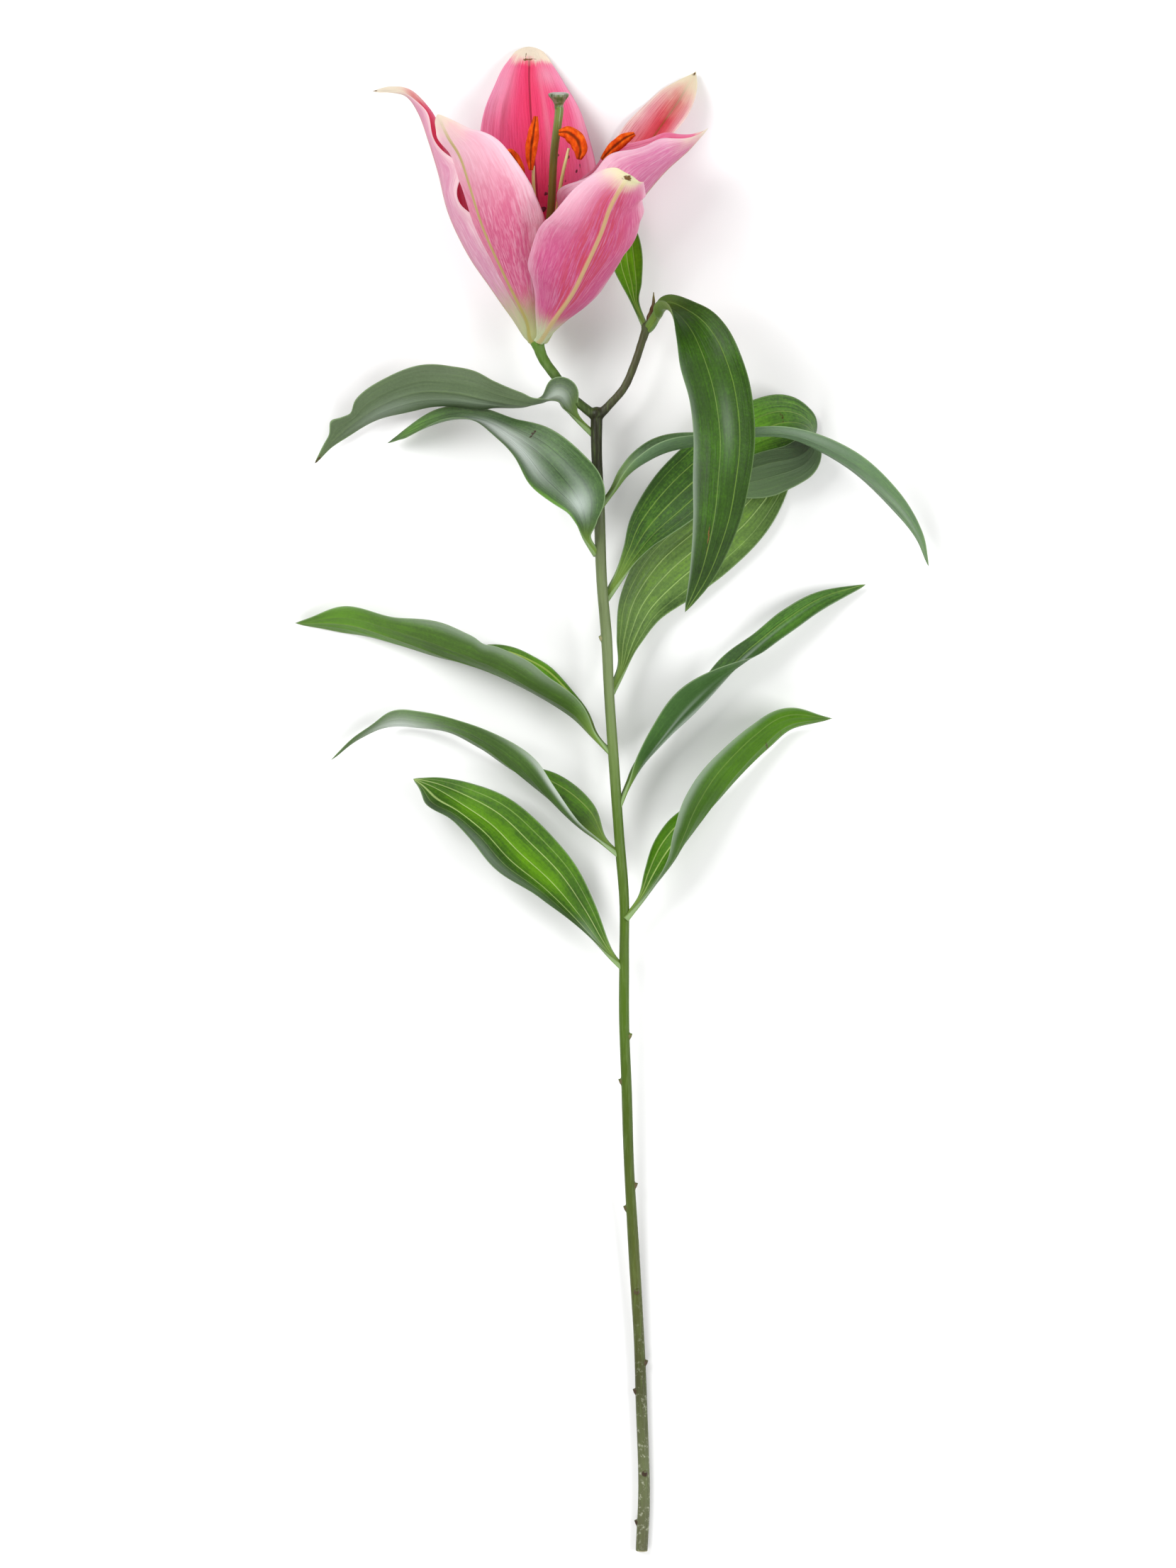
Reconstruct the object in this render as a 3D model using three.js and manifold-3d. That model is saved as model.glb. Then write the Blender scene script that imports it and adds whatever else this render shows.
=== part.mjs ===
import * as THREE from 'three';
import { mergeVertices } from 'three/addons/utils/BufferGeometryUtils.js';
import Module from 'manifold-3d';

// A cut pink lily lying on a table, in millimetres: one stem with eleven long leaves and a small one,
// an open flower, and a side branch whose bud has dried up. +Y runs up the stem to the flower, +Z is
// up from the table, and the origin is on the table under the middle of the lily.

const gap = 0.3;               // air between neighbouring pieces
const leafThickness = 1.2;     // a leaf's blade
const stalkThickness = 2.2;    // a leaf's stalk, where it leaves the stem
const stalkShare = 0.14;       // the part of a leaf's length over which the stalk thins out
const tepalThickness = 1.2;    // a sepal or a petal
const antherRadius = 2.3;      // a pollen sac at its middle
const antherTipShare = 0.45;   // a pollen sac's end radius, as a share of its middle's
const filamentRadius = 0.75;
const scarRadius = 1.1;
const stigmaLobe = 0.22;       // how far the stigma's three lobes swell, as a share of its radius
const bladeSteps = 16;         // facets along a blade
const leafFacets = 4;          // facets across a leaf
const tepalFacets = 6;         // facets across a sepal or a petal

const colours = {
  stem: '#57703a', leaf: '#3f6430', petal: '#d9528c', sepal: '#dd8fbd',
  pistil: '#6f7a35', stigma: '#5f6a55', filament: '#b0b267', anther: '#a8501c', bud: '#5c3f2c',
};

// Stations along each blade, from the stem to the tip:
// [rib x, rib y, rib z, half width, roll about the rib in degrees, half angle of the trough in degrees].
// With no roll the inner face looks up; with no trough the blade is flat across.
const leaves = {
  leaf_left_1: [
    [-7.5, 145.5, 19, 1.5, 60, 30], [-15, 152.5, 21, 2.4, 50, 70], [-20.5, 160.2, 26, 8.2, 35, 68],
    [-28, 158, 24, 3.6, 80, 70], [-36, 157, 23, 5.4, 125, 60], [-49, 159, 23.5, 7.4, 140, 50],
    [-63, 162, 20.5, 9.8, 145, 42], [-77, 162.5, 17, 10.7, 145, 35], [-91, 158.3, 12.5, 9, 145, 30],
    [-103, 151, 8.5, 5.5, 145, 20], [-112.5, 143, 5, 2.4, 145, 10], [-119, 134.5, 4, 0.4, 145, 0],
  ],
  leaf_left_2: [
    [-6, 97.5, 19, 1.4, 20, 30], [-10, 104, 25, 1.8, 10, 60], [-10.5, 110.5, 31, 5, 10, 55],
    [-13, 118.5, 34, 10.3, 10, 45], [-21, 129, 34, 12, 12, 38], [-30, 138, 32, 10.8, 22, 35],
    [-40, 145, 28, 8.5, 40, 35], [-51, 151, 20, 7.2, 60, 35], [-62, 152.5, 14.5, 7.2, 66, 30],
    [-75, 149.5, 9, 6.2, 62, 25], [-90, 142.5, 5, 0.4, 60, 0],
  ],
  leaf_left_3: [
    [-0.5, 18.5, 17, 1.5, 80, 30], [-7.5, 25, 15.5, 3.6, 84, 74], [-16.5, 33.5, 15, 11.5, 87, 80],
    [-32, 43, 16.5, 17.5, 79, 84], [-49, 51, 17.5, 18.7, 91, 80], [-67, 57, 16, 15.7, 108, 62],
    [-86, 64, 12.2, 11.5, 120, 42], [-106, 70, 8.2, 8.2, 130, 30], [-127, 70.5, 3, 0.4, 128, 0],
  ],
  leaf_left_4: [
    [3.4, -22.6, 16, 1.5, 60, 30], [-4, -17, 15, 2.8, 55, 70], [-13, -9.5, 15, 10.5, 55, 72],
    [-27, 2, 15.5, 14, 78, 70], [-40, 12.5, 15, 12, 108, 56], [-52, 21.5, 13.5, 10, 114, 40],
    [-64, 27.5, 12, 8, 112, 30], [-77, 29.5, 11, 8.2, 112, 30], [-89, 30, 9, 7.4, 115, 25],
    [-101, 25, 7, 3.4, 110, 12], [-112.5, 15.5, 4.5, 0.5, 106, 5],
  ],
  leaf_left_5: [
    [5, -68, 13.3, 1.3, 60, 30], [-2, -61, 13, 2.6, 45, 60], [-13, -46.3, 14, 8.2, 35, 50],
    [-24, -33.3, 14, 12.3, 26, 42], [-37, -21.3, 14, 14.3, 22, 38], [-48, -10.3, 13, 13, 22, 35],
    [-60, -2, 11, 9.7, 25, 30], [-70, 4, 9, 5.5, 30, 20], [-79.5, 8, 7, 0.4, 30, 0],
  ],
  leaf_small: [
    [13.6, 187.6, 18.6, 1.1, 0, 30], [9.5, 198, 14, 1.8, 0, 45], [8, 206, 12, 4.5, 0, 35],
    [6.3, 215, 10, 6.5, 0, 30], [5.5, 225, 8, 5.5, 0, 25], [5.5, 235, 6, 0.4, 0, 0],
  ],
  leaf_right_1: [
    [14, 187, 19, 1.7, 0, 30], [17.5, 192.5, 27, 4.2, -40, 70], [21.5, 194.5, 34, 7, -58, 66],
    [27, 191.5, 40, 9.3, -50, 58], [33, 184, 44, 11.7, -25, 50], [38, 173, 46, 13.6, -3, 42],
    [42, 159, 46, 14, 0, 38], [44, 142, 46, 13.2, 0, 35], [43, 125, 45, 11.8, 0, 33],
    [41, 109, 43, 9.5, 0, 30], [36, 90, 40, 5.5, 0, 25], [29, 74, 37, 0.4, 0, 0],
  ],
  leaf_right_2: [
    [-5, 116, 20, 1.5, -60, 30], [0.5, 122.5, 23, 2, -60, 70], [6, 129, 25.5, 4.8, -66, 80],
    [13, 134, 27.5, 8, -72, 80], [23, 138.5, 29, 10.6, -80, 65], [39, 141.5, 30, 11.2, -86, 46],
    [56, 144, 31.6, 10, -92, 36], [70, 143.5, 32.6, 8.5, -98, 35], [84.5, 138, 31, 8, -108, 38],
    [99, 129.5, 25, 7.5, -116, 38], [113.5, 117, 17, 6, -120, 30], [122.5, 105, 12, 3.2, -120, 20],
    [127, 93, 8, 0.4, -120, 0],
  ],
  leaf_right_3: [
    [-3, 79, 18, 1.5, -20, 30], [3, 88.5, 15.5, 2.4, -12, 60], [8.5, 98.5, 13.5, 4.6, -8, 45],
    [15, 109, 12.5, 8.8, -5, 34], [26.3, 121, 12.5, 12.4, -5, 28], [40, 133, 13, 13.6, -5, 26],
    [53, 143.3, 13.5, 13.2, -5, 24], [67, 150, 13.5, 12, -15, 24], [77.5, 149.3, 12, 10, -55, 24],
    [81, 143, 10, 8.7, -100, 20], [75.5, 137, 8.4, 10.2, -150, 14], [62, 134, 7.8, 13, -175, 8],
    [49, 129.5, 7.6, 10, -180, 4], [35, 122, 7.6, 0.4, -180, 0],
  ],
  leaf_right_4: [
    [-1, 41, 17, 1.5, 0, 30], [4, 52, 13, 2.2, 0, 55], [7, 64, 9.5, 5.7, 0, 36],
    [12.5, 78, 6.8, 10.3, 0, 26], [23, 91, 4.8, 14.5, 0, 18], [37, 103, 3.4, 15.5, 0, 14],
    [51, 115, 2.4, 14, 0, 12], [63, 128, 1.8, 9.5, 0, 10], [75, 141, 1, 0.4, 0, 0],
  ],
  leaf_right_5: [
    [2.5, -3.5, 17, 1.5, -70, 30], [7.3, 6, 15, 2.6, -78, 65], [13.3, 15, 14, 6.6, -94, 70],
    [25, 27.3, 14, 11.5, -108, 70], [36.5, 38.3, 14.2, 13.3, -105, 68], [48.5, 51.5, 12.5, 11, -76, 58],
    [60, 62, 10.5, 6.2, -44, 35], [71.5, 71, 9, 5.6, -32, 25], [85, 79.7, 6, 4.1, -28, 20],
    [102, 86, 3, 0.4, -28, 0],
  ],
  leaf_right_6: [
    [5.5, -48, 16, 1.5, -60, 30], [12.5, -39.8, 15.5, 2.6, -56, 60], [18.3, -31.5, 15, 7, -56, 66],
    [25.3, -22.3, 15, 12.6, -66, 74], [32, -13.3, 16.5, 15, -84, 74], [39.3, -3.5, 17, 14.6, -106, 68],
    [48.5, 8.8, 15, 13, -120, 60], [60.5, 21.5, 12, 11.5, -124, 50], [71.5, 30, 9.2, 8.7, -122, 30],
    [88.5, 32.3, 4.5, 0.4, -115, 0],
  ],
};

const tepals = {
  sepal_front: [
    [-27.3, 183.4, 26, 1.7, -150, 30], [-22.8, 190, 36, 7.6, -148, 45], [-16, 199, 50.5, 15.5, -146, 46],
    [-10, 210, 64, 22, -145, 48], [-5, 220, 76, 24, -144, 50], [-1, 230, 88, 19.5, -146, 48],
    [4, 238, 97, 10.5, -150, 50], [7, 241, 101, 2.5, -152, 30],
  ],
  petal_right: [
    [-25.6, 183.9, 20.8, 1.8, -92, 30], [-18, 195, 25, 9, -90, 70], [-9, 208, 29.5, 18, -88, 95],
    [1, 222, 33, 30, -86, 112], [10, 236, 36, 32.5, -84, 108], [20, 248, 38.5, 25, -84, 94],
    [30, 257, 41, 12, -84, 70], [38, 265, 43, 1, -84, 10],
  ],
  sepal_right: [
    [-25.8, 184.8, 15.6, 1.7, -50, 30], [-19.5, 198, 11, 5.5, -50, 38], [-7.5, 222, 8.4, 10, -46, 36],
    [6, 249, 8.2, 13.5, -44, 35], [18, 267, 7, 13, -42, 32], [27, 280, 5, 10, -40, 30],
    [34, 292, 2.5, 0.6, -38, 10],
  ],
  petal_back: [
    [-30.2, 185.2, 16.4, 1.8, 10, 30], [-30, 198, 13.5, 9, 10, 45], [-29, 221, 12, 19, 9, 36],
    [-30, 245, 11, 24.8, 8, 30], [-32, 269, 8, 21.4, 5, 26], [-33, 287, 4, 13.8, 3, 22],
    [-33, 296, 2.4, 8.5, 2, 16], [-33, 302, 1.2, 4, 2, 10],
  ],
  sepal_left: [
    [-34.8, 184.9, 19.2, 1.7, 84, 30], [-40, 193, 20, 5.5, 84, 38], [-47.6, 204, 21, 9.5, 83, 44],
    [-56.5, 217, 22, 13.2, 82, 48], [-64.2, 233, 24.5, 15.5, 82, 54], [-68.3, 249, 27.8, 14, 82, 56],
    [-72, 261, 30.2, 10, 82, 50], [-76, 272, 32.2, 7.5, 80, 45], [-81, 279, 33.3, 4.5, 70, 40],
    [-88, 280.8, 32.8, 3, 60, 30], [-95, 280.8, 32, 0.6, 55, 10],
  ],
  petal_left: [
    [-32.3, 183.9, 22.9, 1.8, 134, 30], [-34, 191, 28, 8, 125, 60], [-42, 207, 41.5, 18.5, 119, 64],
    [-50, 224, 54, 27.5, 118, 62], [-55, 239, 62.5, 28.5, 118, 58], [-59, 251, 69, 21, 121, 50],
    [-64, 259, 74, 11, 126, 40], [-68, 267, 78, 2, 128, 20],
  ],
};

// Stations along each round piece: [x, y, z, radius].
const mainStem = [
  [12, -302, 2.4, 2.4], [13, -277, 2.5, 2.4], [12, -244, 3, 2.3], [11, -217, 4, 2.2],
  [9, -183, 5.5, 2.2], [7, -148, 8, 2.1], [6, -117, 10, 2.1], [5, -89, 12, 2.1], [5, -63, 13.5, 2],
  [5, -40, 15, 2], [3, -15, 16.5, 2.1], [1, 13, 17.5, 2.1], [-1, 42, 18.5, 2.1], [-2, 64, 19, 2.2],
  [-4, 88, 19.5, 2.2], [-5, 118, 20, 2.2], [-6, 138, 20, 2.2], [-6, 154, 20, 2.4],
];
const flowerStalk = [
  [-6, 152, 20, 2.1], [-11, 156, 20.5, 1.9], [-17, 161, 21, 1.9], [-22, 168, 20.5, 2],
  [-27, 175, 19.5, 2.1], [-29, 180, 19.5, 2.4], [-29.8, 183, 20, 3.4],
];
const sideBranch = [
  [-6, 152, 20, 2.1], [-1, 157, 20.5, 1.7], [5, 164, 20.5, 1.6], [9, 173, 20, 1.6],
  [12, 182, 19.5, 1.6], [14, 188, 19, 1.9],
];
// Scars of fallen leaves on the main stem: [share of its length, degrees round it from the right side].
const leafScars = [
  [0.028, 180], [0.071, 80], [0.131, 170], [0.157, 10], [0.211, 85], [0.267, 180], [0.282, 0],
  [0.361, 180], [0.399, 10], [0.765, 180],
];
// Where shoots meet: [x, y, z, radius].
const knuckles = [[-6, 153.5, 20, 2.9], [14, 188, 19, 2.3]];
const pistil = [
  [-29.5, 185, 20.5, 1.6], [-29, 192, 22, 2.1], [-27, 203, 24.5, 2.4], [-26, 219, 28, 1.4],
  [-24, 236, 31.5, 1.3], [-23, 255, 35.5, 1.4], [-21, 270, 38.7, 1.6],
];
const stigma = [[-21, 270.8, 38.9, 1.8], [-21, 274, 39.5, 2.6], [-21, 277, 40.2, 3.2], [-21, 279, 40.6, 2.4]];
const driedBud = [
  [14.2, 187, 19, 1], [15.6, 192.5, 18.9, 1.1], [16.6, 197, 18.9, 0.9], [16.7, 202, 19, 0.3],
];

const stamens = [
  {
    filament: [[-29.5, 188, 25.5], [-30, 205, 33], [-30, 227, 39], [-31, 243, 43], [-31, 250, 44.5]],
    anther: [[-32, 248, 47.5], [-32, 255, 48], [-31, 262, 49.5], [-30, 269, 50.5]],
  },
  {
    filament: [
      [-26.5, 188, 22.5], [-24.5, 202, 29], [-23, 220, 35], [-21, 238, 40], [-19, 249, 43], [-17, 257, 44],
    ],
    anther: [[-21, 264, 48], [-16, 265, 48], [-13, 261, 47.5], [-12, 257, 47], [-13, 253, 46]],
  },
  {
    filament: [[-32.3, 188, 21.3], [-35, 210, 28], [-37, 232, 33], [-38.5, 245, 35]],
    anther: [[-42, 256, 39], [-40, 255, 39], [-37, 250, 38], [-35, 243, 37]],
  },
  {
    filament: [[-32, 188, 19], [-38, 206, 21], [-44, 228, 23], [-47, 245, 26]],
    anther: [[-49, 258, 30], [-48, 253, 29.5], [-45, 248, 29], [-43, 243, 28]],
  },
  {
    filament: [[-26.5, 187, 19.5], [-20, 205, 24], [-12, 226, 29], [-5, 241, 33], [0, 251, 36]],
    anther: [[9, 263, 41], [5, 261, 41], [0, 257, 40], [-4, 253, 39]],
  },
  {
    filament: [[-28.5, 188, 17.5], [-26, 200, 19.5], [-23, 214, 22], [-20, 225, 23.5]],
    anther: [[-23, 233, 27], [-21, 230, 27], [-18, 226, 27], [-16, 221, 26.5]],
  },
];

const wasm = await Module();
wasm.setup();
const lily = new THREE.Group();
const up = new THREE.Vector3(0, 0, 1);

function add(name, geometry, colour, roughness = 0.6) {
  const material = new THREE.MeshStandardMaterial({ color: colour, roughness, metalness: 0 });
  material.side = THREE.DoubleSide;
  geometry.computeVertexNormals();
  const mesh = new THREE.Mesh(geometry, material);
  mesh.name = name;
  lily.add(mesh);
}

// A smooth curve through three columns of the rows, from the one given on.
function curveOf(rows, column) {
  const points = rows.map((row) => {
    const [first, second = 0, third = 0] = row.slice(column);
    return new THREE.Vector3(first, second, third);
  });
  return new THREE.CatmullRomCurve3(points, false, 'catmullrom', 0.5);
}

// The point at u on a curve, with the way it runs (along) and two directions square to that: across,
// and out, which is upwards turned about the curve by roll.
function frameAt(curve, u, roll = 0) {
  const point = curve.getPoint(u);
  const along = curve.getTangent(u);
  const out = up.clone().addScaledVector(along, -up.dot(along)).normalize();
  out.applyAxisAngle(along, roll);
  const across = new THREE.Vector3().crossVectors(along, out);
  return { point, along, across, out };
}

function closedGeometry(vertices, faces) {
  const geometry = new THREE.BufferGeometry();
  const numbers = vertices.flatMap((vertex) => vertex.toArray());
  geometry.setAttribute('position', new THREE.Float32BufferAttribute(numbers, 3));
  geometry.setIndex(faces.flat());
  return geometry;
}

// A curved sheet with a thickness: at each step along the rib its section is an arc, centred on the
// rib, whose half length is the half width there and whose ends bend towards the out side.
function blade(rows, facets, thicknessAt) {
  const rib = curveOf(rows, 0);
  const shape = curveOf(rows, 3);
  const vertices = [];
  const faces = [];
  const row = facets + 1;
  const layer = (bladeSteps + 1) * row;
  for (const side of [0.5, -0.5]) {
    for (let i = 0; i <= bladeSteps; i += 1) {
      const u = i / bladeSteps;
      const { x: halfWidth, y: roll, z: trough } = shape.getPoint(u);
      const frame = frameAt(rib, u, THREE.MathUtils.degToRad(roll));
      const halfAngle = THREE.MathUtils.degToRad(Math.max(trough, 1));
      const radius = Math.max(halfWidth, 0.3) / halfAngle;
      for (let j = 0; j <= facets; j += 1) {
        const angle = halfAngle * (2 * j / facets - 1);
        const reach = radius - side * thicknessAt(u);
        const sideways = reach * Math.sin(angle);
        const outwards = radius - reach * Math.cos(angle);
        vertices.push(frame.point.clone().addScaledVector(frame.across, sideways)
          .addScaledVector(frame.out, outwards));
      }
    }
  }
  const quad = (a, b, c, d) => faces.push([a, b, c], [a, c, d]);
  for (let i = 0; i < bladeSteps; i += 1) {
    for (let j = 0; j < facets; j += 1) {
      const a = i * row + j;
      quad(a, a + 1, a + row + 1, a + row);
      quad(layer + a, layer + a + row, layer + a + row + 1, layer + a + 1);
    }
    const near = i * row;
    const far = near + facets;
    quad(near, near + row, layer + near + row, layer + near);
    quad(far, layer + far, layer + far + row, far + row);
  }
  for (let j = 0; j < facets; j += 1) {
    const tip = bladeSteps * row + j;
    quad(j, layer + j, layer + j + 1, j + 1);
    quad(tip, tip + 1, layer + tip + 1, layer + tip);
  }
  return closedGeometry(vertices, faces);
}

// A round rod through the rows, whose radius is their fourth column plus the extra. Its section can
// be made lobed: lobe is the share by which the radius swells and shrinks three times round.
function rod(rows, { steps = 24, sides = 8, extra = 0, lobe = 0 } = {}) {
  const line = curveOf(rows, 0);
  const radii = curveOf(rows, 3);
  const vertices = [];
  const faces = [];
  for (let i = 0; i <= steps; i += 1) {
    const frame = frameAt(line, i / steps);
    const radius = radii.getPoint(i / steps).x + extra;
    for (let k = 0; k < sides; k += 1) {
      const angle = 2 * Math.PI * k / sides;
      const reach = radius * (1 + lobe * Math.cos(3 * angle));
      vertices.push(frame.point.clone().addScaledVector(frame.across, reach * Math.cos(angle))
        .addScaledVector(frame.out, reach * Math.sin(angle)));
    }
  }
  const foot = vertices.push(line.getPoint(0)) - 1;
  const head = vertices.push(line.getPoint(1)) - 1;
  for (let k = 0; k < sides; k += 1) {
    const next = (k + 1) % sides;
    for (let i = 0; i < steps; i += 1) {
      const a = i * sides;
      faces.push([a + k, a + sides + k, a + sides + next], [a + k, a + sides + next, a + next]);
    }
    faces.push([foot, k, next], [head, steps * sides + next, steps * sides + k]);
  }
  return closedGeometry(vertices, faces);
}

function toSolid(geometry) {
  const bare = geometry.clone();
  bare.deleteAttribute('normal');
  bare.deleteAttribute('uv');
  const merged = mergeVertices(bare, 1e-4);
  return new wasm.Manifold(new wasm.Mesh({
    numProp: 3,
    vertProperties: new Float32Array(merged.attributes.position.array),
    triVerts: new Uint32Array(merged.index.array),
  }));
}

function toGeometry(solid) {
  const { vertProperties, triVerts } = solid.getMesh();
  const geometry = new THREE.BufferGeometry();
  geometry.setAttribute('position', new THREE.Float32BufferAttribute(vertProperties, 3));
  geometry.setIndex(Array.from(triVerts));
  return geometry;
}

// The stem with the flower's stalk and the side branch, and the scars of fallen leaves on it.
function stemSolid(extra) {
  let solid = toSolid(rod(mainStem, { steps: 34, extra }));
  solid = solid.add(toSolid(rod(flowerStalk, { steps: 14, extra })));
  solid = solid.add(toSolid(rod(sideBranch, { steps: 12, extra })));
  for (const [x, y, z, radius] of knuckles) {
    const knuckle = new THREE.SphereGeometry(radius + extra, 8, 6).translate(x, y, z);
    solid = solid.add(toSolid(knuckle));
  }
  const line = curveOf(mainStem, 0);
  const radii = curveOf(mainStem, 3);
  for (const [share, degrees] of leafScars) {
    const { point, across, out } = frameAt(line, share);
    const angle = THREE.MathUtils.degToRad(degrees);
    const reach = radii.getPoint(share).x;
    point.addScaledVector(across, reach * Math.cos(angle)).addScaledVector(out, reach * Math.sin(angle));
    const scar = new THREE.SphereGeometry(scarRadius + extra, 6, 4).translate(point.x, point.y, point.z);
    solid = solid.add(toSolid(scar));
  }
  return solid;
}

function leafThicknessAt(u) {
  const stalk = Math.max(0, 1 - u / stalkShare);
  return leafThickness + (stalkThickness - leafThickness) * stalk ** 2;
}

function tepalThicknessAt() {
  return tepalThickness;
}

add('stem', toGeometry(stemSolid(0)), colours.stem);
const aroundStem = stemSolid(gap);
for (const [name, rows] of Object.entries(leaves)) {
  const whole = toSolid(blade(rows, leafFacets, leafThicknessAt));
  add(name, toGeometry(whole.subtract(aroundStem)), colours.leaf, 0.45);
}
for (const [name, rows] of Object.entries(tepals)) {
  const colour = name.startsWith('petal') ? colours.petal : colours.sepal;
  add(name, blade(rows, tepalFacets, tepalThicknessAt), colour);
}
add('pistil', rod(pistil, { steps: 16 }), colours.pistil);
add('stigma', rod(stigma, { steps: 6, sides: 12, lobe: stigmaLobe }), colours.stigma);
stamens.forEach(({ filament, anther }, n) => {
  const last = anther.length - 1;
  const thin = filament.map((point) => [...point, filamentRadius]);
  const fat = anther.map((point, k) => {
    const share = k === 0 || k === last ? antherTipShare : 1;
    return [...point, antherRadius * share];
  });
  add(`filament_${n + 1}`, rod(thin, { steps: 12, sides: 6 }), colours.filament);
  add(`anther_${n + 1}`, rod(fat, { steps: 8 }), colours.anther, 0.9);
});
add('dried_bud', toGeometry(toSolid(rod(driedBud, { steps: 8 })).subtract(aroundStem)), colours.bud, 0.9);

export default lily;
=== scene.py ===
from functools import partial

import bpy
import numpy as np
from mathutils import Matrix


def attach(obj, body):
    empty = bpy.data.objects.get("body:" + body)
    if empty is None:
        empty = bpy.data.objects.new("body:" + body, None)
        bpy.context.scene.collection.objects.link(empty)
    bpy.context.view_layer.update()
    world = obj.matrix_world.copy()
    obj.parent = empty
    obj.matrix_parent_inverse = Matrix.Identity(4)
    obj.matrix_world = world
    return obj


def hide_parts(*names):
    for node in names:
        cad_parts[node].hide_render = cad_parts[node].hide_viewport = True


# A cut pink lily lying on a pale table, looked at from straight above.
# Sizes are in millimetres and turned to metres in addPiece; +Y runs up the stem, +Z is up from the table.

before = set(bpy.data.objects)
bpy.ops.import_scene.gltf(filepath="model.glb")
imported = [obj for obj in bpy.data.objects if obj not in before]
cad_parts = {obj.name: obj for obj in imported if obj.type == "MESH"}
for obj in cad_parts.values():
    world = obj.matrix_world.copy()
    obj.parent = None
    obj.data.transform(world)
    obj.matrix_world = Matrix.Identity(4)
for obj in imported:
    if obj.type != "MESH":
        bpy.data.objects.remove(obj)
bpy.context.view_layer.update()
millimetre = 0.001
print("frame:", len(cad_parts), "nodes")


# sRGB hex to linear: c / 12.92 below 0.04045, else ((c + 0.055) / 1.055) ^ 2.4
def colour(hexText):
    parts = np.array([int(hexText[k:k + 2], 16) for k in (1, 3, 5)]) / 255
    linear = np.where(parts <= 0.04045, parts / 12.92, ((parts + 0.055) / 1.055) ** 2.4)
    return (*linear.tolist(), 1.0)


# Adds one shader node with its settings and links, and gives back the socket that it is used for.
def node(tree, kind, inputs=None, output=0, stops=(), **settings):
    made = tree.nodes.new("ShaderNode" + kind)
    for key, value in settings.items():
        setattr(made, key, value)
    for place, source in (inputs or {}).items():
        if isinstance(source, bpy.types.NodeSocket):
            tree.links.new(source, made.inputs[place])
        else:
            made.inputs[place].default_value = source
    for count, (position, hexText) in enumerate(stops):
        elements = made.color_ramp.elements
        element = elements[count] if count < len(elements) else elements.new(position)
        element.position = position
        element.color = colour(hexText)
    return made.outputs[output] if len(made.outputs) else made


# An empty material, with the node function tied to its tree.
def startMaterial(name):
    made = bpy.data.materials.new(name)
    made.use_nodes = True
    made.node_tree.nodes.clear()
    return made, partial(node, made.node_tree)


# Catmull-Rom curve through the rows: the cubic between two rows whose slopes are half the step over their
# neighbours.
def smoothRows(rows, u):
    points = np.array(rows, float)
    last = len(points) - 1
    padded = np.vstack([2 * points[0] - points[1], points, 2 * points[-1] - points[-2]])
    place = np.clip(u, 0, 1) * last
    start = np.minimum(place.astype(int), last - 1)
    t = (place - start)[:, None]
    before, here, there, after = (padded[start + k] for k in range(4))
    slopeHere, slopeThere = (there - before) / 2, (after - here) / 2
    return (here * (2 * t**3 - 3 * t**2 + 1) + slopeHere * (t**3 - 2 * t**2 + t)
            + there * (3 * t**2 - 2 * t**3) + slopeThere * (t**3 - t**2))


def unit(vectors):
    return vectors / np.maximum(np.linalg.norm(vectors, axis=-1, keepdims=True), 1e-9)


# Along a curve: up is +Z made square to the way it runs, and sideways is the way it runs crossed with up.
def framesAlong(points, u):
    along = unit(np.gradient(points, u, axis=0))
    upward = unit(np.array([0.0, 0.0, 1.0]) - along * along[:, 2:3])
    return along, upward, np.cross(along, upward)


# 3t^2 - 2t^3, with t running from 0 at low to 1 at high
def smoothStep(low, high, x):
    t = np.clip((x - low) / (high - low), 0, 1)
    return t * t * (3 - 2 * t)


# Sum of soft spots: amount * exp(-((s - s0) / length)^2 - ((v - v0 - slant (s - s0)) / width)^2)
def spots(listed, s, v):
    total = np.zeros(np.broadcast(s, v).shape)
    for s0, v0, length, width, slant, amount in listed:
        total += amount * np.exp(-((s - s0) / length) ** 2 - ((v - v0 - slant * (s - s0)) / width) ** 2)
    return total


# Ties a finished object to the frame.
def tie(piece, replaced):
    bpy.context.scene.collection.objects.link(piece)
    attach(piece, "root")
    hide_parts(replaced)


def addPiece(name, points, faces, material, replaced, attributes):
    mesh = bpy.data.meshes.new(name)
    mesh.from_pydata((np.asarray(points) * millimetre).tolist(), [], faces)
    for key, values in attributes.items():
        layer = mesh.attributes.new(key, "FLOAT", "POINT")
        layer.data.foreach_set("value", np.asarray(values, np.float32).ravel())
    mesh.polygons.foreach_set("use_smooth", np.ones(len(mesh.polygons), bool))
    mesh.materials.append(material)
    mesh.update()
    tie(bpy.data.objects.new(name, mesh), replaced)


# Quads of a closed shell of two equal grids of points: the first faces out, the second the other way, and
# four strips close the sides.
def shellFaces(rows, columns):
    index = np.arange(rows * columns).reshape(rows, columns)
    top = np.stack([index[:-1, :-1], index[:-1, 1:], index[1:, 1:], index[1:, :-1]], -1).reshape(-1, 4)
    bottom = top[:, ::-1] + rows * columns
    sides = []
    for line in (index[::-1, 0], index[:, -1], index[0, :], index[-1, ::-1]):
        low = line + rows * columns
        sides.append(np.stack([line[:-1], low[:-1], low[1:], line[1:]], -1))
    return np.vstack([top, bottom, *sides]).tolist()


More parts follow.
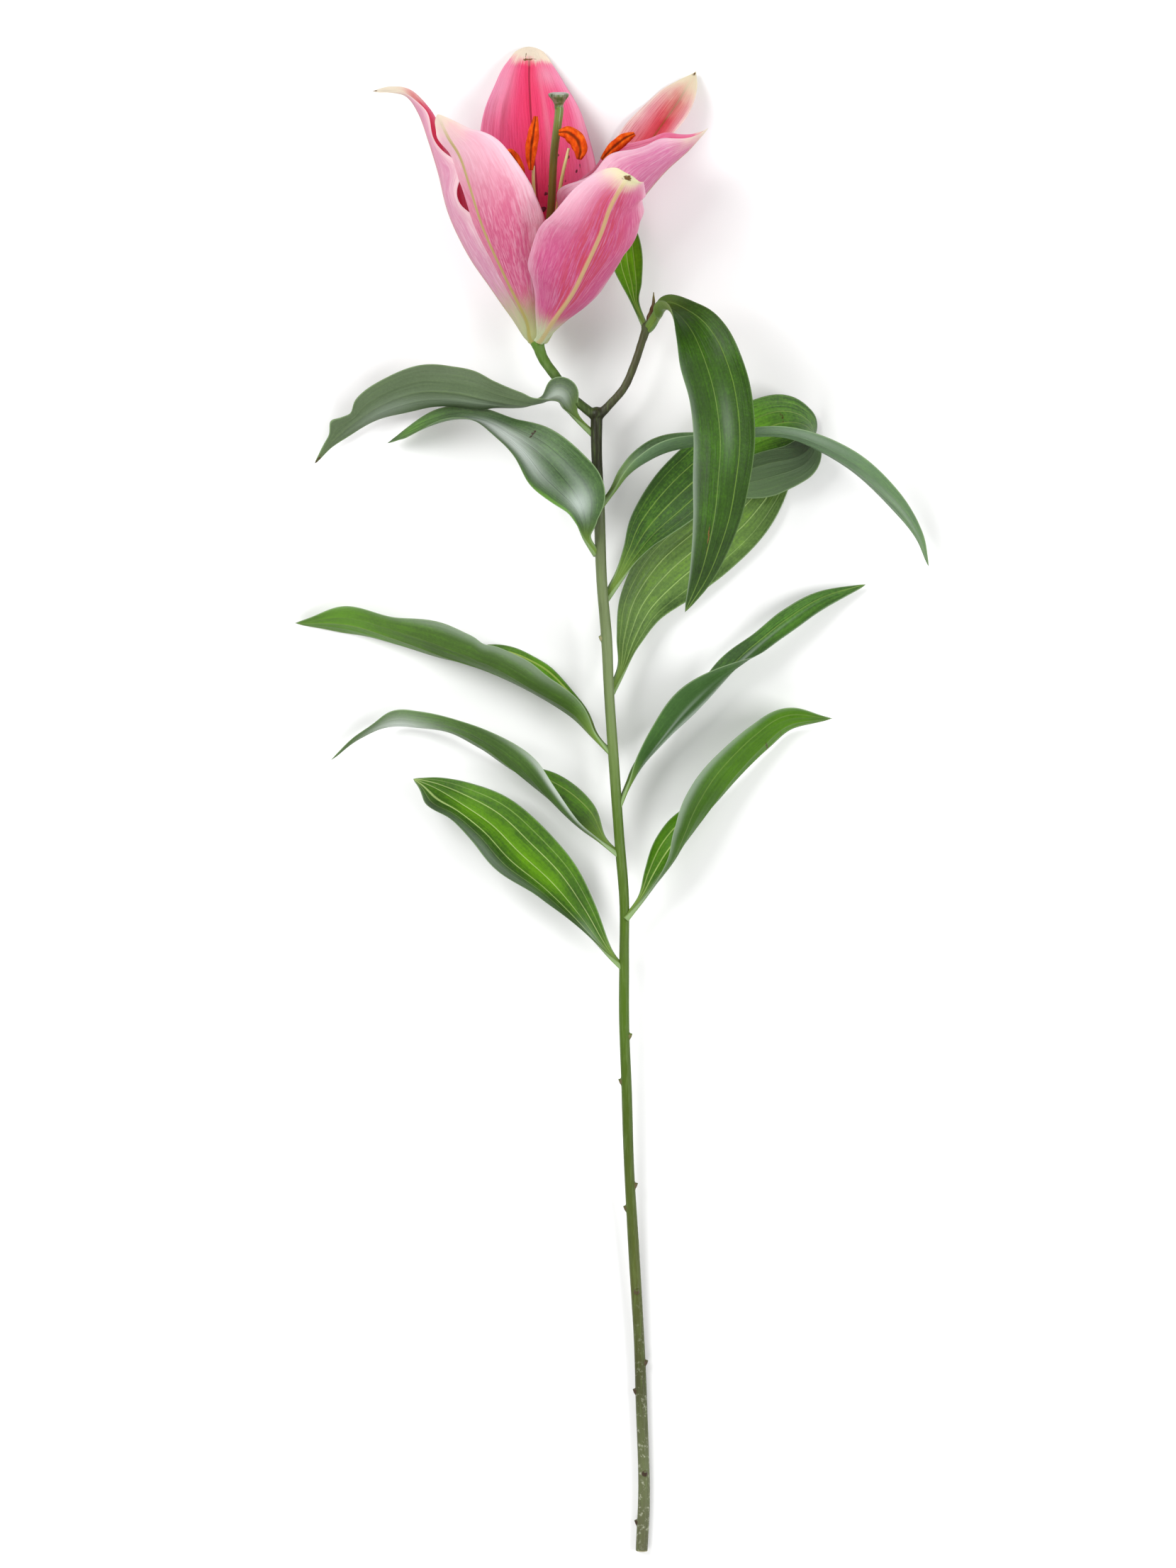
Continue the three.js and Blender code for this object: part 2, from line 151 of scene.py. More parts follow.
# A blade is a sheet carried along its rib. At v from edge to edge (-1 to 1) its middle surface is
#   rib + across * w sin(c v) / c + out * w (1 - cos(c v)) / c
# with w the half width and c the half angle of the trough; out is up, turned about the rib by the roll.
# Bulges stretch v on one side, ripples add amount * |v|^3 * sin, grooves and dents are soft spots along out,
# and the two faces lie half the thickness to either side.
def buildBlade(name, blade, material):
    steps, facets = blade["grid"]
    u = np.linspace(0, 1, steps + 1)
    v = np.linspace(-1, 1, facets + 1)[None, :]
    station = smoothRows(blade["rows"], u)
    rib = station[:, :3]
    upward, sideways = framesAlong(rib, u)[1:]
    roll = np.radians(station[:, 4])[:, None]
    out = np.cos(roll) * upward + np.sin(roll) * sideways
    across = np.cos(roll) * sideways - np.sin(roll) * upward
    length = np.concatenate([[0], np.cumsum(np.linalg.norm(np.diff(rib, axis=0), axis=1))])
    s = (length / length[-1])[:, None]
    toTip = np.clip((u - 1 + blade["roundTip"]) / blade["roundTip"], 0, 1)
    half = np.maximum(station[:, 3] * np.sqrt(1 - toTip**2), blade["leastHalf"])[:, None]
    trough = np.radians(np.maximum(station[:, 5], 1))[:, None]
    edge = np.abs(v)

    stretch = np.ones((steps + 1, facets + 1))
    for s0, reach, side, amount in blade["bulges"]:
        stretch += amount * np.exp(-((s - s0) / reach) ** 2) * smoothStep(0, 0.5, v * side)
    angle = trough * v * stretch
    x = half * np.sin(angle) / trough
    y = half * (1 - np.cos(angle)) / trough
    fadeIn = blade["rippleFade"]
    for side, amount, turns, phase, start, end in blade["ripples"]:
        envelope = smoothStep(start, start + fadeIn, s) * (1 - smoothStep(end - fadeIn, end, s))
        wanted = 1.0 if side == 0 else (v * side > 0)
        y = y + amount * envelope * wanted * edge**3 * np.sin(2 * np.pi * (turns * s + phase))
    footStart, footEnd, tipStart, tipEnd = blade["grooveFades"]
    fade = smoothStep(footStart, footEnd, s) * (1 - smoothStep(tipStart, tipEnd, s))
    for place, share in blade["grooves"]:
        y = y - blade["groove"] * share * fade * np.exp(-((v - place) * half / blade["grooveWidth"]) ** 2)
    y = y + spots(blade["dents"], s, v)

    middle = rib[:, None] + x[..., None] * across[:, None] + y[..., None] * out[:, None]
    normal = unit(np.cross(np.gradient(middle, axis=1), np.gradient(middle, axis=0)))
    middle[-1] = middle[-1].mean(0) + blade["tipPinch"] * (middle[-1] - middle[-1].mean(0))
    bumps = spots(blade["warts"], s, v)
    thin, thick, footThickness, footShare = blade["thickness"]
    body = thin + (thick - thin) * np.exp(-(v * half / blade["ribWidth"]) ** 2) * (1 - blade["ribFade"] * s)
    body = body + (footThickness - body).clip(0) * np.clip(1 - s / footShare, 0, 1) ** 1.5
    thinTip, leastTip = blade["tipThinning"]
    body = body * np.sqrt(np.clip(1 - edge**blade["edgePower"], blade["leastEdge"], 1))
    body = body * np.clip((1 - s) / thinTip, leastTip, 1)
    upper = middle + normal * (body / 2 + blade["wartHeight"] * bumps)[..., None]
    lower = middle - normal * (body / 2)[..., None]

    full = np.ones((steps + 1, facets + 1))
    fields = {"across": v * full, "half": half * full, "along": length[:, None] * full, "share": s * full}
    # Painted spots: bright ones (partly painted light), pale grey painted highlights, and marks.
    for key in ("bright", "paintedHighlight", "mark"):
        fields[key] = spots(blade[key], s, v)
    attributes = {key: np.tile(values.ravel(), 2) for key, values in fields.items()}
    for key, values in {"inner": full, "wart": bumps * full}.items():
        attributes[key] = np.concatenate([values.ravel(), 0 * values.ravel()])
    points = np.concatenate([upper.reshape(-1, 3), lower.reshape(-1, 3)])
    faces = shellFaces(steps + 1, facets + 1)
    addPiece(name, points, faces, material, blade["node"], attributes)


# Shared by every blade unless its own dictionary says otherwise, in mm or shares of the length. The grooves
# fade in and out between the four shares of grooveFades. tipThinning: over what share the tip thins, and what
# part of the thickness is left.
bladeShape = {
    "bulges": [], "ripples": [], "dents": [], "warts": [], "bright": [], "paintedHighlight": [], "mark": [],
    "leastHalf": 0.12, "leastEdge": 0.04, "rippleFade": 0.12, "grooveFades": (0.04, 0.16, 0.88, 1.0),
    "ribFade": 0.6, "tipPinch": 0.15, "tipThinning": (0.02, 0.15), "wartHeight": 0.3,
}


# The skin that leaves and tepals share: raised by its relief, rougher along the fibres, and letting through
# a share of the light, since a living blade is thin.
def finishBlade(add, shown, relief, fibre, look):
    bump = add("Bump", {"Height": relief, "Strength": 0.5, "Distance": look["bumpMm"] * millimetre})
    roughness = add("MapRange", {"Value": fibre, "From Min": 0.3, "From Max": 0.7, "To Min": look["roughness"],
                                 "To Max": look["roughness"] + look["roughSpread"]})
    surface = add("BsdfPrincipled", {"Base Color": shown, "Roughness": roughness, "Normal": bump,
                                     "IOR": look["ior"], "Specular IOR Level": look["specular"],
                                     "Sheen Weight": look["sheen"], "Sheen Roughness": 0.4})
    through = add("BsdfTranslucent", {"Color": shown, "Normal": bump})
    add("OutputMaterial", {"Surface": add("MixShader", {0: look["translucence"], 1: surface, 2: through})})


# Lily leaf: a living green blade under a satin wax. A few pale veins run from stalk to tip, fine fibres lie
# between them, the green is mottled, and the outer face is greyer. Pale grey painted highlights lie in patches
# where the wax would shine, and the pale rim along the margin is partly its paler edge, partly a painted
# highlight.
def leafMaterial(name, look):
    made, add = startMaterial(name)
    across, half, along, share, inner, bright, paintedHighlight, mark = [
        add("Attribute", output="Fac", attribute_name=key)
        for key in ("across", "half", "along", "share", "inner", "bright", "paintedHighlight", "mark")]
    place = add("TexCoord", output="Object")

    # Fibres along the blade, mottling and a cell grain all over; a noise scale is 1000 / its size in mm.
    fibreX = add("Math", {0: along, 1: 1 / look["fibreMm"]}, operation="MULTIPLY")
    fibreY = add("Math", {0: across, 1: look["fibres"]}, operation="MULTIPLY")
    fibreAt = add("CombineXYZ", {0: fibreX, 1: fibreY, 2: inner})
    fibre = add("TexNoise", {"Vector": fibreAt, "Scale": 1.0, "Detail": 5.0, "Roughness": 0.65})
    mottle = add("TexNoise", {"Vector": place, "Scale": 1000 / look["mottleMm"], "Detail": 4.0,
                              "Roughness": 0.6})
    grain = add("TexNoise", {"Vector": place, "Scale": 1000 / look["grainMm"], "Detail": 2.0})

    # Veins: lines at their places across the blade, their width in mm, broken a little by the fibres.
    veins = 0.0
    for at, strength, width in look["veins"]:
        offset = add("Math", {0: across, 1: at}, operation="SUBTRACT")
        distance = add("Math", {0: offset}, operation="ABSOLUTE")
        distanceMm = add("Math", {0: distance, 1: half}, operation="MULTIPLY")
        line = add("MapRange", {"Value": distanceMm, "From Min": 0.2 * width, "From Max": width,
                                "To Min": strength, "To Max": 0.0}, interpolation_type="SMOOTHSTEP")
        veins = add("Math", {0: line, 1: veins}, operation="MAXIMUM")
    broken = add("MapRange", {"Value": fibre, "From Min": 0.3, "From Max": 0.62, "To Min": 0.35})
    veins = add("Math", {0: veins, 1: broken}, operation="MULTIPLY")

    # The green goes from dark to light with the sum of mottling, fibres, grain and painted bright spots; these
    # stand partly for lighter green and partly for painted light let through the blade, and negative ones for
    # painted shade.
    tone = bright
    for noise, weight in ((mottle, 0.9), (fibre, 0.85), (grain, 0.45)):
        tone = add("Math", {0: noise, 1: weight, 2: tone}, operation="MULTIPLY_ADD")
    tone = add("Math", {0: tone, 1: 0.7}, operation="SUBTRACT")
    green = add("ValToRGB", {0: tone}, stops=[(0.0, look["dark"]), (0.45, look["middle"]),
                                              (1.0, look["light"])])

    # Masks: the stalk's share of the length, the pale rim of the margin in mm, partly the paler edge and partly
    # a painted edge highlight, and the bruises, which show where the painted mark, broken up by the grain,
    # passes a limit.
    side = add("Math", {0: across}, operation="ABSOLUTE")
    fromEdge = add("Math", {0: 1.0, 1: side}, operation="SUBTRACT")
    fromEdgeMm = add("Math", {0: fromEdge, 1: half}, operation="MULTIPLY")
    torn = add("Math", {0: grain, 1: 0.7, 2: mark}, operation="MULTIPLY_ADD")
    isStalk, isRimAndHighlight, isBruise = [
        add("MapRange", {"Value": source, "From Min": start, "From Max": end, "To Min": low, "To Max": high},
            interpolation_type="SMOOTHSTEP")
        for source, start, end, low, high in (
            (share, 0.03, 0.17, 0.9, 0.0), (fromEdgeMm, 0.1, 0.6, 0.6, 0.0), (torn, 0.66, 0.86, 0.0, 1.0))]

    # Each layer is an amount, what lies under and what lies over. The outer face keeps 0.4 of the veins. The
    # highlight layer lays the pale grey of the painted highlight spots over the rest.
    layers = {"green": green, **{key: colour(look[key]) for key in (
        "veinColour", "stalk", "outer", "rimAndHighlight", "highlightTint", "bruise")}}
    for result, amount, under, over in (
            ("veined", veins, "green", "veinColour"), ("innerFace", isStalk, "veined", "stalk"),
            ("softened", 0.6, "veined", "green"), ("greyed", look["greying"], "softened", "outer"),
            ("outerFace", isStalk, "greyed", "stalk"), ("faces", inner, "outerFace", "innerFace"),
            ("rimmed", isRimAndHighlight, "faces", "rimAndHighlight"), ("waxed", paintedHighlight, "rimmed", "highlightTint"),
            ("shown", isBruise, "waxed", "bruise")):
        layers[result] = add("Mix", {0: amount, 6: layers[under], 7: layers[over]}, 2, data_type="RGBA")

    height = add("Math", {0: fibre, 1: 1.3, 2: veins}, operation="MULTIPLY_ADD")
    height = add("Math", {0: grain, 1: 0.35, 2: height}, operation="MULTIPLY_ADD")
    finishBlade(add, layers["shown"], height, fibre, look)
    return made


# Shared by every leaf unless its own dictionary says otherwise. Thickness: margin, rib, stalk, and the
# share of the length over which the stalk thins out. The fibres lie 1 mm apart and 20 mm long, the mottling
# is 21 mm wide and the cell grain 1 mm: coarser than real, to show.
leafShape = {
    "slot": "leaf", "grid": (160, 44), "roundTip": 0.02, "edgePower": 6, "thickness": (0.32, 0.7, 2.4, 0.16),
    "ribWidth": 1.6, "groove": 0.3, "grooveWidth": 0.6, "grooves": [(0, 1), (-0.42, 0.6), (0.42, 0.6)],
}
# The pale grey tint among these colours is the colour of the painted highlights.
leafLook = {
    "veins": [(0, 0.7, 0.45), (-0.42, 0.55, 0.36), (0.42, 0.55, 0.36), (-0.75, 0.2, 0.3), (0.75, 0.2, 0.3)],
    "veinColour": "#a9c766", "stalk": "#7f9f45", "greying": 0.6, "rimAndHighlight": "#93ad7d", "highlightTint": "#aebcae",
    "bruise": "#4a3216", "fibreMm": 20, "fibres": 13.0, "mottleMm": 21, "grainMm": 1.0, "bumpMm": 0.4,
    "roughness": 0.32, "roughSpread": 0.14, "ior": 1.48, "specular": 0.28, "sheen": 0.0, "translucence": 0.16,
}

# Rows: rib x, y, z, half width, roll and half angle of the trough, in degrees. Soft spots (bright, painted
# highlight, mark, dents): share along, place across, length, width, slant, amount. Bright spots are partly
# lighter green and partly painted light let through the blade, and negative ones painted shade; the painted
# highlight spots are pale grey painted highlights. Bulges: share, reach, side, amount.
# Ripples: side, mm, turns, phase, start, end. Veins: place across, strength, width in mm.
leaves = {
    "leafLeft1": {
        "node": "leaf_left_1",
        "rows": [
            [-7.5, 145.5, 19, 1.5, 60, 30], [-15, 152.5, 21, 2.4, 50, 70], [-20.5, 160.2, 26, 8.2, 35, 68],
            [-28, 158, 24, 3.6, 80, 70], [-36, 157, 23, 5.4, 125, 60], [-49, 159, 23.5, 7.4, 140, 50],
            [-63, 162, 20.5, 9.8, 145, 42], [-77, 162.5, 17, 10.7, 145, 35], [-91, 158.3, 12.5, 9, 145, 30],
            [-103, 151, 8.5, 5.5, 145, 20], [-112.5, 143, 5, 2.4, 145, 10], [-119, 134.5, 4, 0.4, 145, 0],
        ],
        "bulges": [(0.875, 0.022, -1, 0.75), (0.815, 0.022, -1, -0.35), (0.42, 0.06, -1, 0.25)],
        "ripples": [(0, 0.9, 4, 0.1, 0.3, 0.95)],
        "paintedHighlight": [(0.17, 0.1, 0.05, 0.4, 2, 0.9), (0.45, 0.4, 0.16, 0.3, 1, 0.25),
                  (0.72, 0.4, 0.12, 0.4, 0, 0.3)],
        "bright": [(0.98, 0, 0.05, 1, 0, 0.3), (0.6, 0.2, 0.08, 0.5, 2, 0.2)],
        "mark": [(1.0, 0, 0.05, 2, 0, 0.5)],
        "look": {"dark": "#2e3e22", "middle": "#506444", "light": "#708d4b", "outer": "#5f714f",
                 "veins": [(0, 0.3, 0.4), (-0.42, 0.15, 0.3), (0.42, 0.15, 0.3)], "greying": 0.55,
                 "roughness": 0.38},
    },
    "leafLeft2": {
        "node": "leaf_left_2",
        "rows": [
            [-6, 97.5, 19, 1.4, 20, 30], [-10, 104, 25, 1.8, 10, 60], [-10.5, 110.5, 31, 5, 10, 55],
            [-13, 118.5, 34, 10.3, 10, 45], [-21, 129, 34, 12, 12, 38], [-30, 138, 32, 10.8, 22, 35],
            [-40, 145, 28, 8.5, 40, 35], [-51, 151, 20, 7.2, 60, 35], [-62, 152.5, 14.5, 7.2, 66, 30],
            [-75, 149.5, 9, 6.2, 62, 25], [-90, 142.5, 5, 0.4, 60, 0],
        ],
        "bulges": [(0.2, 0.05, -1, -0.2), (0.24, 0.07, 1, 0.2), (0.36, 0.07, -1, 0.3), (0.93, 0.02, -1, 0.5)],
        "ripples": [(0, 0.7, 2.5, 0.3, 0.2, 0.95)],
        "paintedHighlight": [(0.45, -0.5, 0.13, 0.24, -0.3, 0.8), (0.57, -0.2, 0.12, 0.45, -0.8, 1.0),
                  (0.21, -0.1, 0.05, 0.45, 0, 0.8), (0.3, 0.3, 0.12, 0.2, 0, 0.2)],
        "bright": [(0.92, 0, 0.08, 1, 0, 0.6), (0.25, -0.97, 0.12, 0.12, 0, 1.1)],
        "mark": [(0.475, 0.5, 0.005, 0.3, 0.02, 0.75)],
        "look": {"dark": "#2b4324", "middle": "#4d6b3c", "light": "#6b9c41", "veinColour": "#26391c",
                 "veins": [(0, 0.85, 0.35), (-0.4, 0.7, 0.3), (0.42, 0.6, 0.3)], "roughness": 0.27,
                 "bruise": "#33200f", "outer": "#598a35", "greying": 0.3, "highlightTint": "#c0ccc4"},
    },
    "leafLeft3": {
        "node": "leaf_left_3",
        "rows": [
            [-0.5, 18.5, 17, 1.5, 80, 30], [-7.5, 25, 15.5, 3.6, 84, 74], [-16.5, 33.5, 15, 11.5, 87, 80],
            [-32, 43, 16.5, 17.5, 79, 84], [-49, 51, 17.5, 18.7, 91, 80], [-67, 57, 16, 15.7, 108, 62],
            [-86, 64, 12.2, 11.5, 120, 42], [-106, 70, 8.2, 8.2, 130, 30], [-127, 70.5, 3, 0.4, 128, 0],
        ],
        "ripples": [(-1, 1.3, 3.2, 0.35, 0.25, 0.95), (1, 0.9, 3, 0.0, 0.25, 0.95)],
        "bulges": [(0.45, 0.02, -1, -0.06)],
        "bright": [(0.93, 0, 0.25, 1.5, 0, 0.55), (0.3, 0.8, 0.25, 0.5, 0, 0.35),
                   (0.6, 0.3, 0.2, 0.4, 0, 0.15)],
        "paintedHighlight": [(0.45, -0.95, 0.3, 0.12, 0, 0.35)],
        "look": {"middle": "#395918", "dark": "#1f360f", "light": "#639c17",
                 "veins": [(0, 0.7, 0.4), (0.88, 0.95, 0.55), (-0.42, 0.25, 0.3)],
                 "veinColour": "#c3da6c", "outer": "#4f6e2d", "greying": 0.5},
    },
    "leafLeft4": {
        "node": "leaf_left_4",
        "rows": [
            [3.4, -22.6, 16, 1.5, 60, 30], [-4, -17, 15, 2.8, 55, 70], [-13, -9.5, 15, 10.5, 55, 72],
            [-27, 2, 15.5, 14, 78, 70], [-40, 12.5, 15, 12, 108, 56], [-52, 21.5, 13.5, 10, 114, 40],
            [-64, 27.5, 12, 8, 112, 30], [-77, 29.5, 11, 8.2, 112, 30], [-89, 30, 9, 7.4, 115, 25],
            [-101, 25, 7, 3.4, 110, 12], [-112.5, 15.5, 4.5, 0.5, 106, 5],
        ],
        "bulges": [(0.84, 0.05, -1, -0.35), (0.84, 0.05, 1, -0.35)],
        "ripples": [(0, 0.7, 2.5, 0.4, 0.25, 0.95)],
        "bright": [(0.25, 0.7, 0.22, 0.5, 0, 0.35), (0.72, 0, 0.1, 1, 0, 0.2)],
        "paintedHighlight": [(0.76, 0.25, 0.1, 0.8, 0, 1.0), (0.25, -0.94, 0.16, 0.1, 0, 0.9),
                  (0.47, 0.4, 0.15, 0.2, 0, 0.15)],
        "look": {"dark": "#273e19", "middle": "#45632a", "light": "#68a121", "outer": "#4c6b30",
                 "veins": [(0, 0.35, 0.35), (0.72, 0.8, 0.4), (-0.42, 0.25, 0.3)], "greying": 0.4,
                 "highlightTint": "#c6d0c6"},
    },
    "leafLeft5": {
        "node": "leaf_left_5",
        "rows": [
            [5, -68, 13.3, 1.3, 60, 30], [-2, -61, 13, 2.6, 45, 60], [-13, -46.3, 14, 8.2, 35, 50],
            [-24, -33.3, 14, 12.3, 26, 42], [-37, -21.3, 14, 14.3, 22, 38], [-48, -10.3, 13, 13, 22, 35],
            [-60, -2, 11, 9.7, 25, 30], [-70, 4, 9, 5.5, 30, 20], [-79.5, 8, 7, 0.4, 30, 0],
        ],
        "bulges": [(0.9, 0.06, -1, 1.1), (0.55, 0.08, -1, 0.06)],
        "ripples": [(-1, 1.2, 2.5, 0.2, 0.3, 0.98)],
        "bright": [(0.5, 0.0, 0.4, 0.3, 0, 0.45), (0.5, 0.8, 0.6, 0.4, 0, 0.15),
                   (0.6, -0.85, 0.6, 0.4, 0, -0.25)],
        "paintedHighlight": [(0.6, -0.85, 0.3, 0.2, 0, 0.3), (0.16, -0.3, 0.06, 0.4, 0, 0.4)],
        "look": {"dark": "#1f340f", "middle": "#3f6716", "light": "#63980d", "outer": "#466034",
                 "veinColour": "#c6dc8c",
                 "veins": [(0, 0.85, 0.34), (0.42, 0.85, 0.32), (-0.36, 0.8, 0.3), (0.72, 0.3, 0.25),
                           (-0.6, 0.25, 0.25)]},
    },
    "leafSmall": {
        "node": "leaf_small",
        "rows": [
            [13.6, 187.6, 18.6, 1.1, 0, 30], [9.5, 198, 14, 1.8, 0, 45], [8, 206, 12, 4.5, 0, 35],
            [6.3, 215, 10, 6.5, 0, 30], [5.5, 225, 8, 5.5, 0, 25], [5.5, 235, 6, 0.4, 0, 0],
        ],
        "grid": (90, 36),
        "bright": [(0.6, 0, 0.5, 1, 0, 0.3)],
        "look": {"dark": "#233d09", "middle": "#4e840f", "light": "#75b510", "outer": "#4d6f27",
                 "veinColour": "#b9d873", "veins": [(0, 0.8, 0.4), (-0.42, 0.7, 0.34), (0.42, 0.7, 0.34)]},
    },
    "leafRight1": {
        "node": "leaf_right_1",
        "rows": [
            [14, 187, 19, 1.7, 0, 30], [18.8, 192.3, 27, 3.2, -40, 70], [22, 194.6, 34, 6.6, -58, 66],
            [27, 191.5, 40, 9.3, -50, 58], [33, 184, 44, 11.7, -25, 50], [38, 173, 46, 13.6, -3, 42],
            [42, 159, 46, 14, 0, 38], [44, 142, 46, 13.2, 0, 35], [43, 125, 45, 11.8, 0, 33],
            [41, 109, 43, 9.5, 0, 30], [36, 90, 40, 5.5, 0, 25], [29, 74, 37, 0.4, 0, 0],
        ],
        "bulges": [(0.2, 0.05, 1, 0.3), (0.42, 0.12, 1, -0.12)],
        "ripples": [(0, 0.5, 2, 0.2, 0.25, 0.95)],
        "bright": [(0.62, 0.2, 0.12, 0.6, 0, 0.2), (0.2, 0, 0.2, 1, 0, 0.05), (0.85, 0, 0.15, 1, 0, -0.15)],
        "paintedHighlight": [(0.7, 0.98, 0.35, 0.14, 0, 0.45), (0.5, -0.15, 0.08, 0.16, 0, 0.2)],
        "mark": [(0.79, 0.2, 0.05, 0.03, -1.6, 0.75)],
        "look": {"dark": "#1a3006", "middle": "#30530b", "light": "#4b8206", "veinColour": "#8fb150",
                 "veins": [(0.1, 0.5, 0.3), (-0.5, 0.5, 0.3)], "rimAndHighlight": "#6b8850", "outer": "#77923f",
                 "greying": 0.7, "bruise": "#7a5326"},
    },
    "leafRight2": {
        "node": "leaf_right_2",
        "rows": [
            [-5, 116, 20, 1.5, -60, 30], [0.5, 122.5, 23, 2, -60, 70], [6, 129, 25.5, 4.8, -66, 80],
            [13, 134, 27.5, 8, -72, 80], [23, 138.5, 29, 10.6, -80, 65], [39, 141.5, 30, 11.2, -86, 46],
            [56, 144, 31.6, 10, -92, 36], [70, 143.5, 32.6, 8.5, -98, 35], [84.5, 138, 31, 8, -108, 38],
            [99, 129.5, 25, 7.5, -116, 38], [113.5, 117, 17, 6, -120, 30], [122.5, 105, 12, 3.2, -120, 20],
            [127, 93, 8, 0.4, -120, 0],
        ],
        "ripples": [(0, 0.5, 2, 0.0, 0.2, 0.95)],
        "paintedHighlight": [(0.55, 0.7, 0.1, 0.25, 0, 0.3), (0.85, 0.2, 0.12, 0.2, 0, 0.35),
                  (0.15, -0.4, 0.08, 0.3, 0, 0.3), (0.7, -0.2, 0.1, 0.2, 0, 0.15)],
        "bright": [(0.9, 0, 0.2, 1, 0, 0.2)],
        "look": {"dark": "#365124", "middle": "#5b7b4f", "light": "#84b54f", "outer": "#708d6a",
                 "greying": 0.5, "roughness": 0.3,
                 "veins": [(0, 0.35, 0.4), (0.42, 0.2, 0.3), (-0.42, 0.2, 0.3)]},
    },
    "leafRight3": {
        "node": "leaf_right_3",
        "rows": [
            [-3, 79, 18, 1.5, -20, 30], [3, 88.5, 15.5, 2.4, -12, 60], [8.5, 98.5, 13.5, 4.6, -8, 45],
            [15, 109, 12.5, 8.8, -5, 34], [26.3, 121, 12.5, 12.4, -5, 28], [40, 133, 13, 13.6, -5, 26],
            [53, 143.3, 13.5, 13.2, -5, 24], [67, 150, 13.5, 12, -15, 24], [77.5, 149.3, 12, 10, -55, 24],
            [81, 143, 10, 8.7, -100, 20], [75.5, 137, 8.4, 10.2, -150, 14], [62, 134, 7.8, 13, -175, 8],
            [49, 129.5, 7.6, 10, -180, 4], [35, 122, 7.6, 0.4, -180, 0],
        ],
        "grid": (200, 44),
        "bulges": [(0.47, 0.1, 1, -0.5)],
        "bright": [(0.52, 0, 0.1, 1, 0, 0.5), (0.3, -0.5, 0.1, 0.4, 0, 0.15)],
        "paintedHighlight": [(0.72, 0, 0.1, 1, 0, 0.12)],
        "mark": [(0.57, 0.3, 0.006, 0.35, 0.03, 0.5), (0.6, -0.2, 0.006, 0.3, 0, 0.45)],
        "look": {"dark": "#213813", "middle": "#3c6120", "light": "#74b12e", "veinColour": "#a3c45c",
                 "outer": "#69805b", "greying": 0.7},
    },
    "leafRight4": {
        "node": "leaf_right_4",
        "rows": [
            [-1, 41, 17, 1.5, 0, 30], [4, 52, 13, 2.2, 0, 55], [7, 64, 9.5, 5.7, 0, 36],
            [12.5, 78, 6.8, 10.3, 0, 26], [23, 91, 4.8, 14.5, 0, 18], [37, 103, 3.4, 15.5, 0, 14],
            [51, 115, 2.4, 14, 0, 12], [63, 128, 1.8, 9.5, 0, 10], [75, 141, 1, 0.4, 0, 0],
        ],
        "bright": [(0.3, -0.2, 0.25, 0.6, 0, 0.05), (0.62, 0.1, 0.12, 0.8, 0, 0.15),
                   (0.45, 0.9, 0.3, 0.3, 0, -0.3)],
        "mark": [(0.47, 0.45, 0.06, 0.02, 0.4, 0.42)],
        "look": {"dark": "#365022", "middle": "#62823c", "light": "#8dbd2f", "outer": "#6d865b",
                 "veinColour": "#aecb78", "bruise": "#b9c23c",
                 "veins": [(0, 0.8, 0.36), (-0.36, 0.85, 0.36), (0.36, 0.7, 0.32), (-0.7, 0.5, 0.3),
                           (0.7, 0.3, 0.3)]},
    },
    "leafRight5": {
        "node": "leaf_right_5",
        "rows": [
            [2.5, -3.5, 17, 1.5, -70, 30], [7.3, 6, 15, 2.6, -78, 65], [13.3, 15, 14, 6.6, -94, 70],
            [25, 27.3, 14, 11.5, -108, 70], [36.5, 38.3, 14.2, 13.3, -105, 68],
            [48.5, 51.5, 12.5, 11, -76, 58], [60, 62, 10.5, 6.2, -44, 35], [71.5, 71, 9, 5.6, -32, 25],
            [85, 79.7, 6, 4.1, -28, 20], [102, 86, 3, 0.4, -28, 0],
        ],
        "ripples": [(0, 0.6, 2.5, 0.3, 0.2, 0.95)],
        "bright": [(0.8, 0, 0.2, 1.5, 0, 0.3)],
        "paintedHighlight": [(0.35, -0.02, 0.3, 0.13, 0, 0.95), (0.27, 0.32, 0.14, 0.06, 1.0, 0.5),
                  (0.75, 0.95, 0.2, 0.1, 0, 0.4)],
        "look": {"dark": "#213a14", "middle": "#3e612a", "light": "#649c37", "outer": "#3f6230",
                 "greying": 0.55, "veins": [(-0.3, 0.5, 0.36), (0.42, 0.08, 0.3)], "specular": 0.2},
    },
    "leafRight6": {
        "node": "leaf_right_6",
        "rows": [
            [5.5, -48, 16, 1.5, -60, 30], [12.5, -39.8, 15.5, 2.6, -56, 60], [18.3, -31.5, 15, 7, -56, 66],
            [25.3, -22.3, 15, 12.6, -66, 74], [32, -13.3, 16.5, 15, -84, 74],
            [39.3, -3.5, 17, 14.6, -106, 68], [48.5, 8.8, 15, 13, -120, 60],
            [60.5, 21.5, 12, 11.5, -124, 50], [71.5, 30, 9.2, 8.7, -122, 30], [88.5, 32.3, 4.5, 0.4, -115, 0],
        ],
        "ripples": [(0, 0.6, 2, 0.3, 0.2, 0.95)],
        "bright": [(0.85, 0, 0.22, 1.5, 0, 0.5), (0.28, -0.7, 0.2, 0.6, 0, 0.3)],
        "paintedHighlight": [(0.12, 0.5, 0.06, 0.5, 0, 0.4), (0.5, 0.95, 0.3, 0.1, 0, 0.5)],
        "mark": [(0.745, -0.2, 0.005, 0.5, 0.02, 0.62), (0.81, -0.2, 0.004, 0.5, 0.02, 0.55)],
        "look": {"dark": "#1c3406", "middle": "#39640b", "light": "#5e9612", "outer": "#436716",
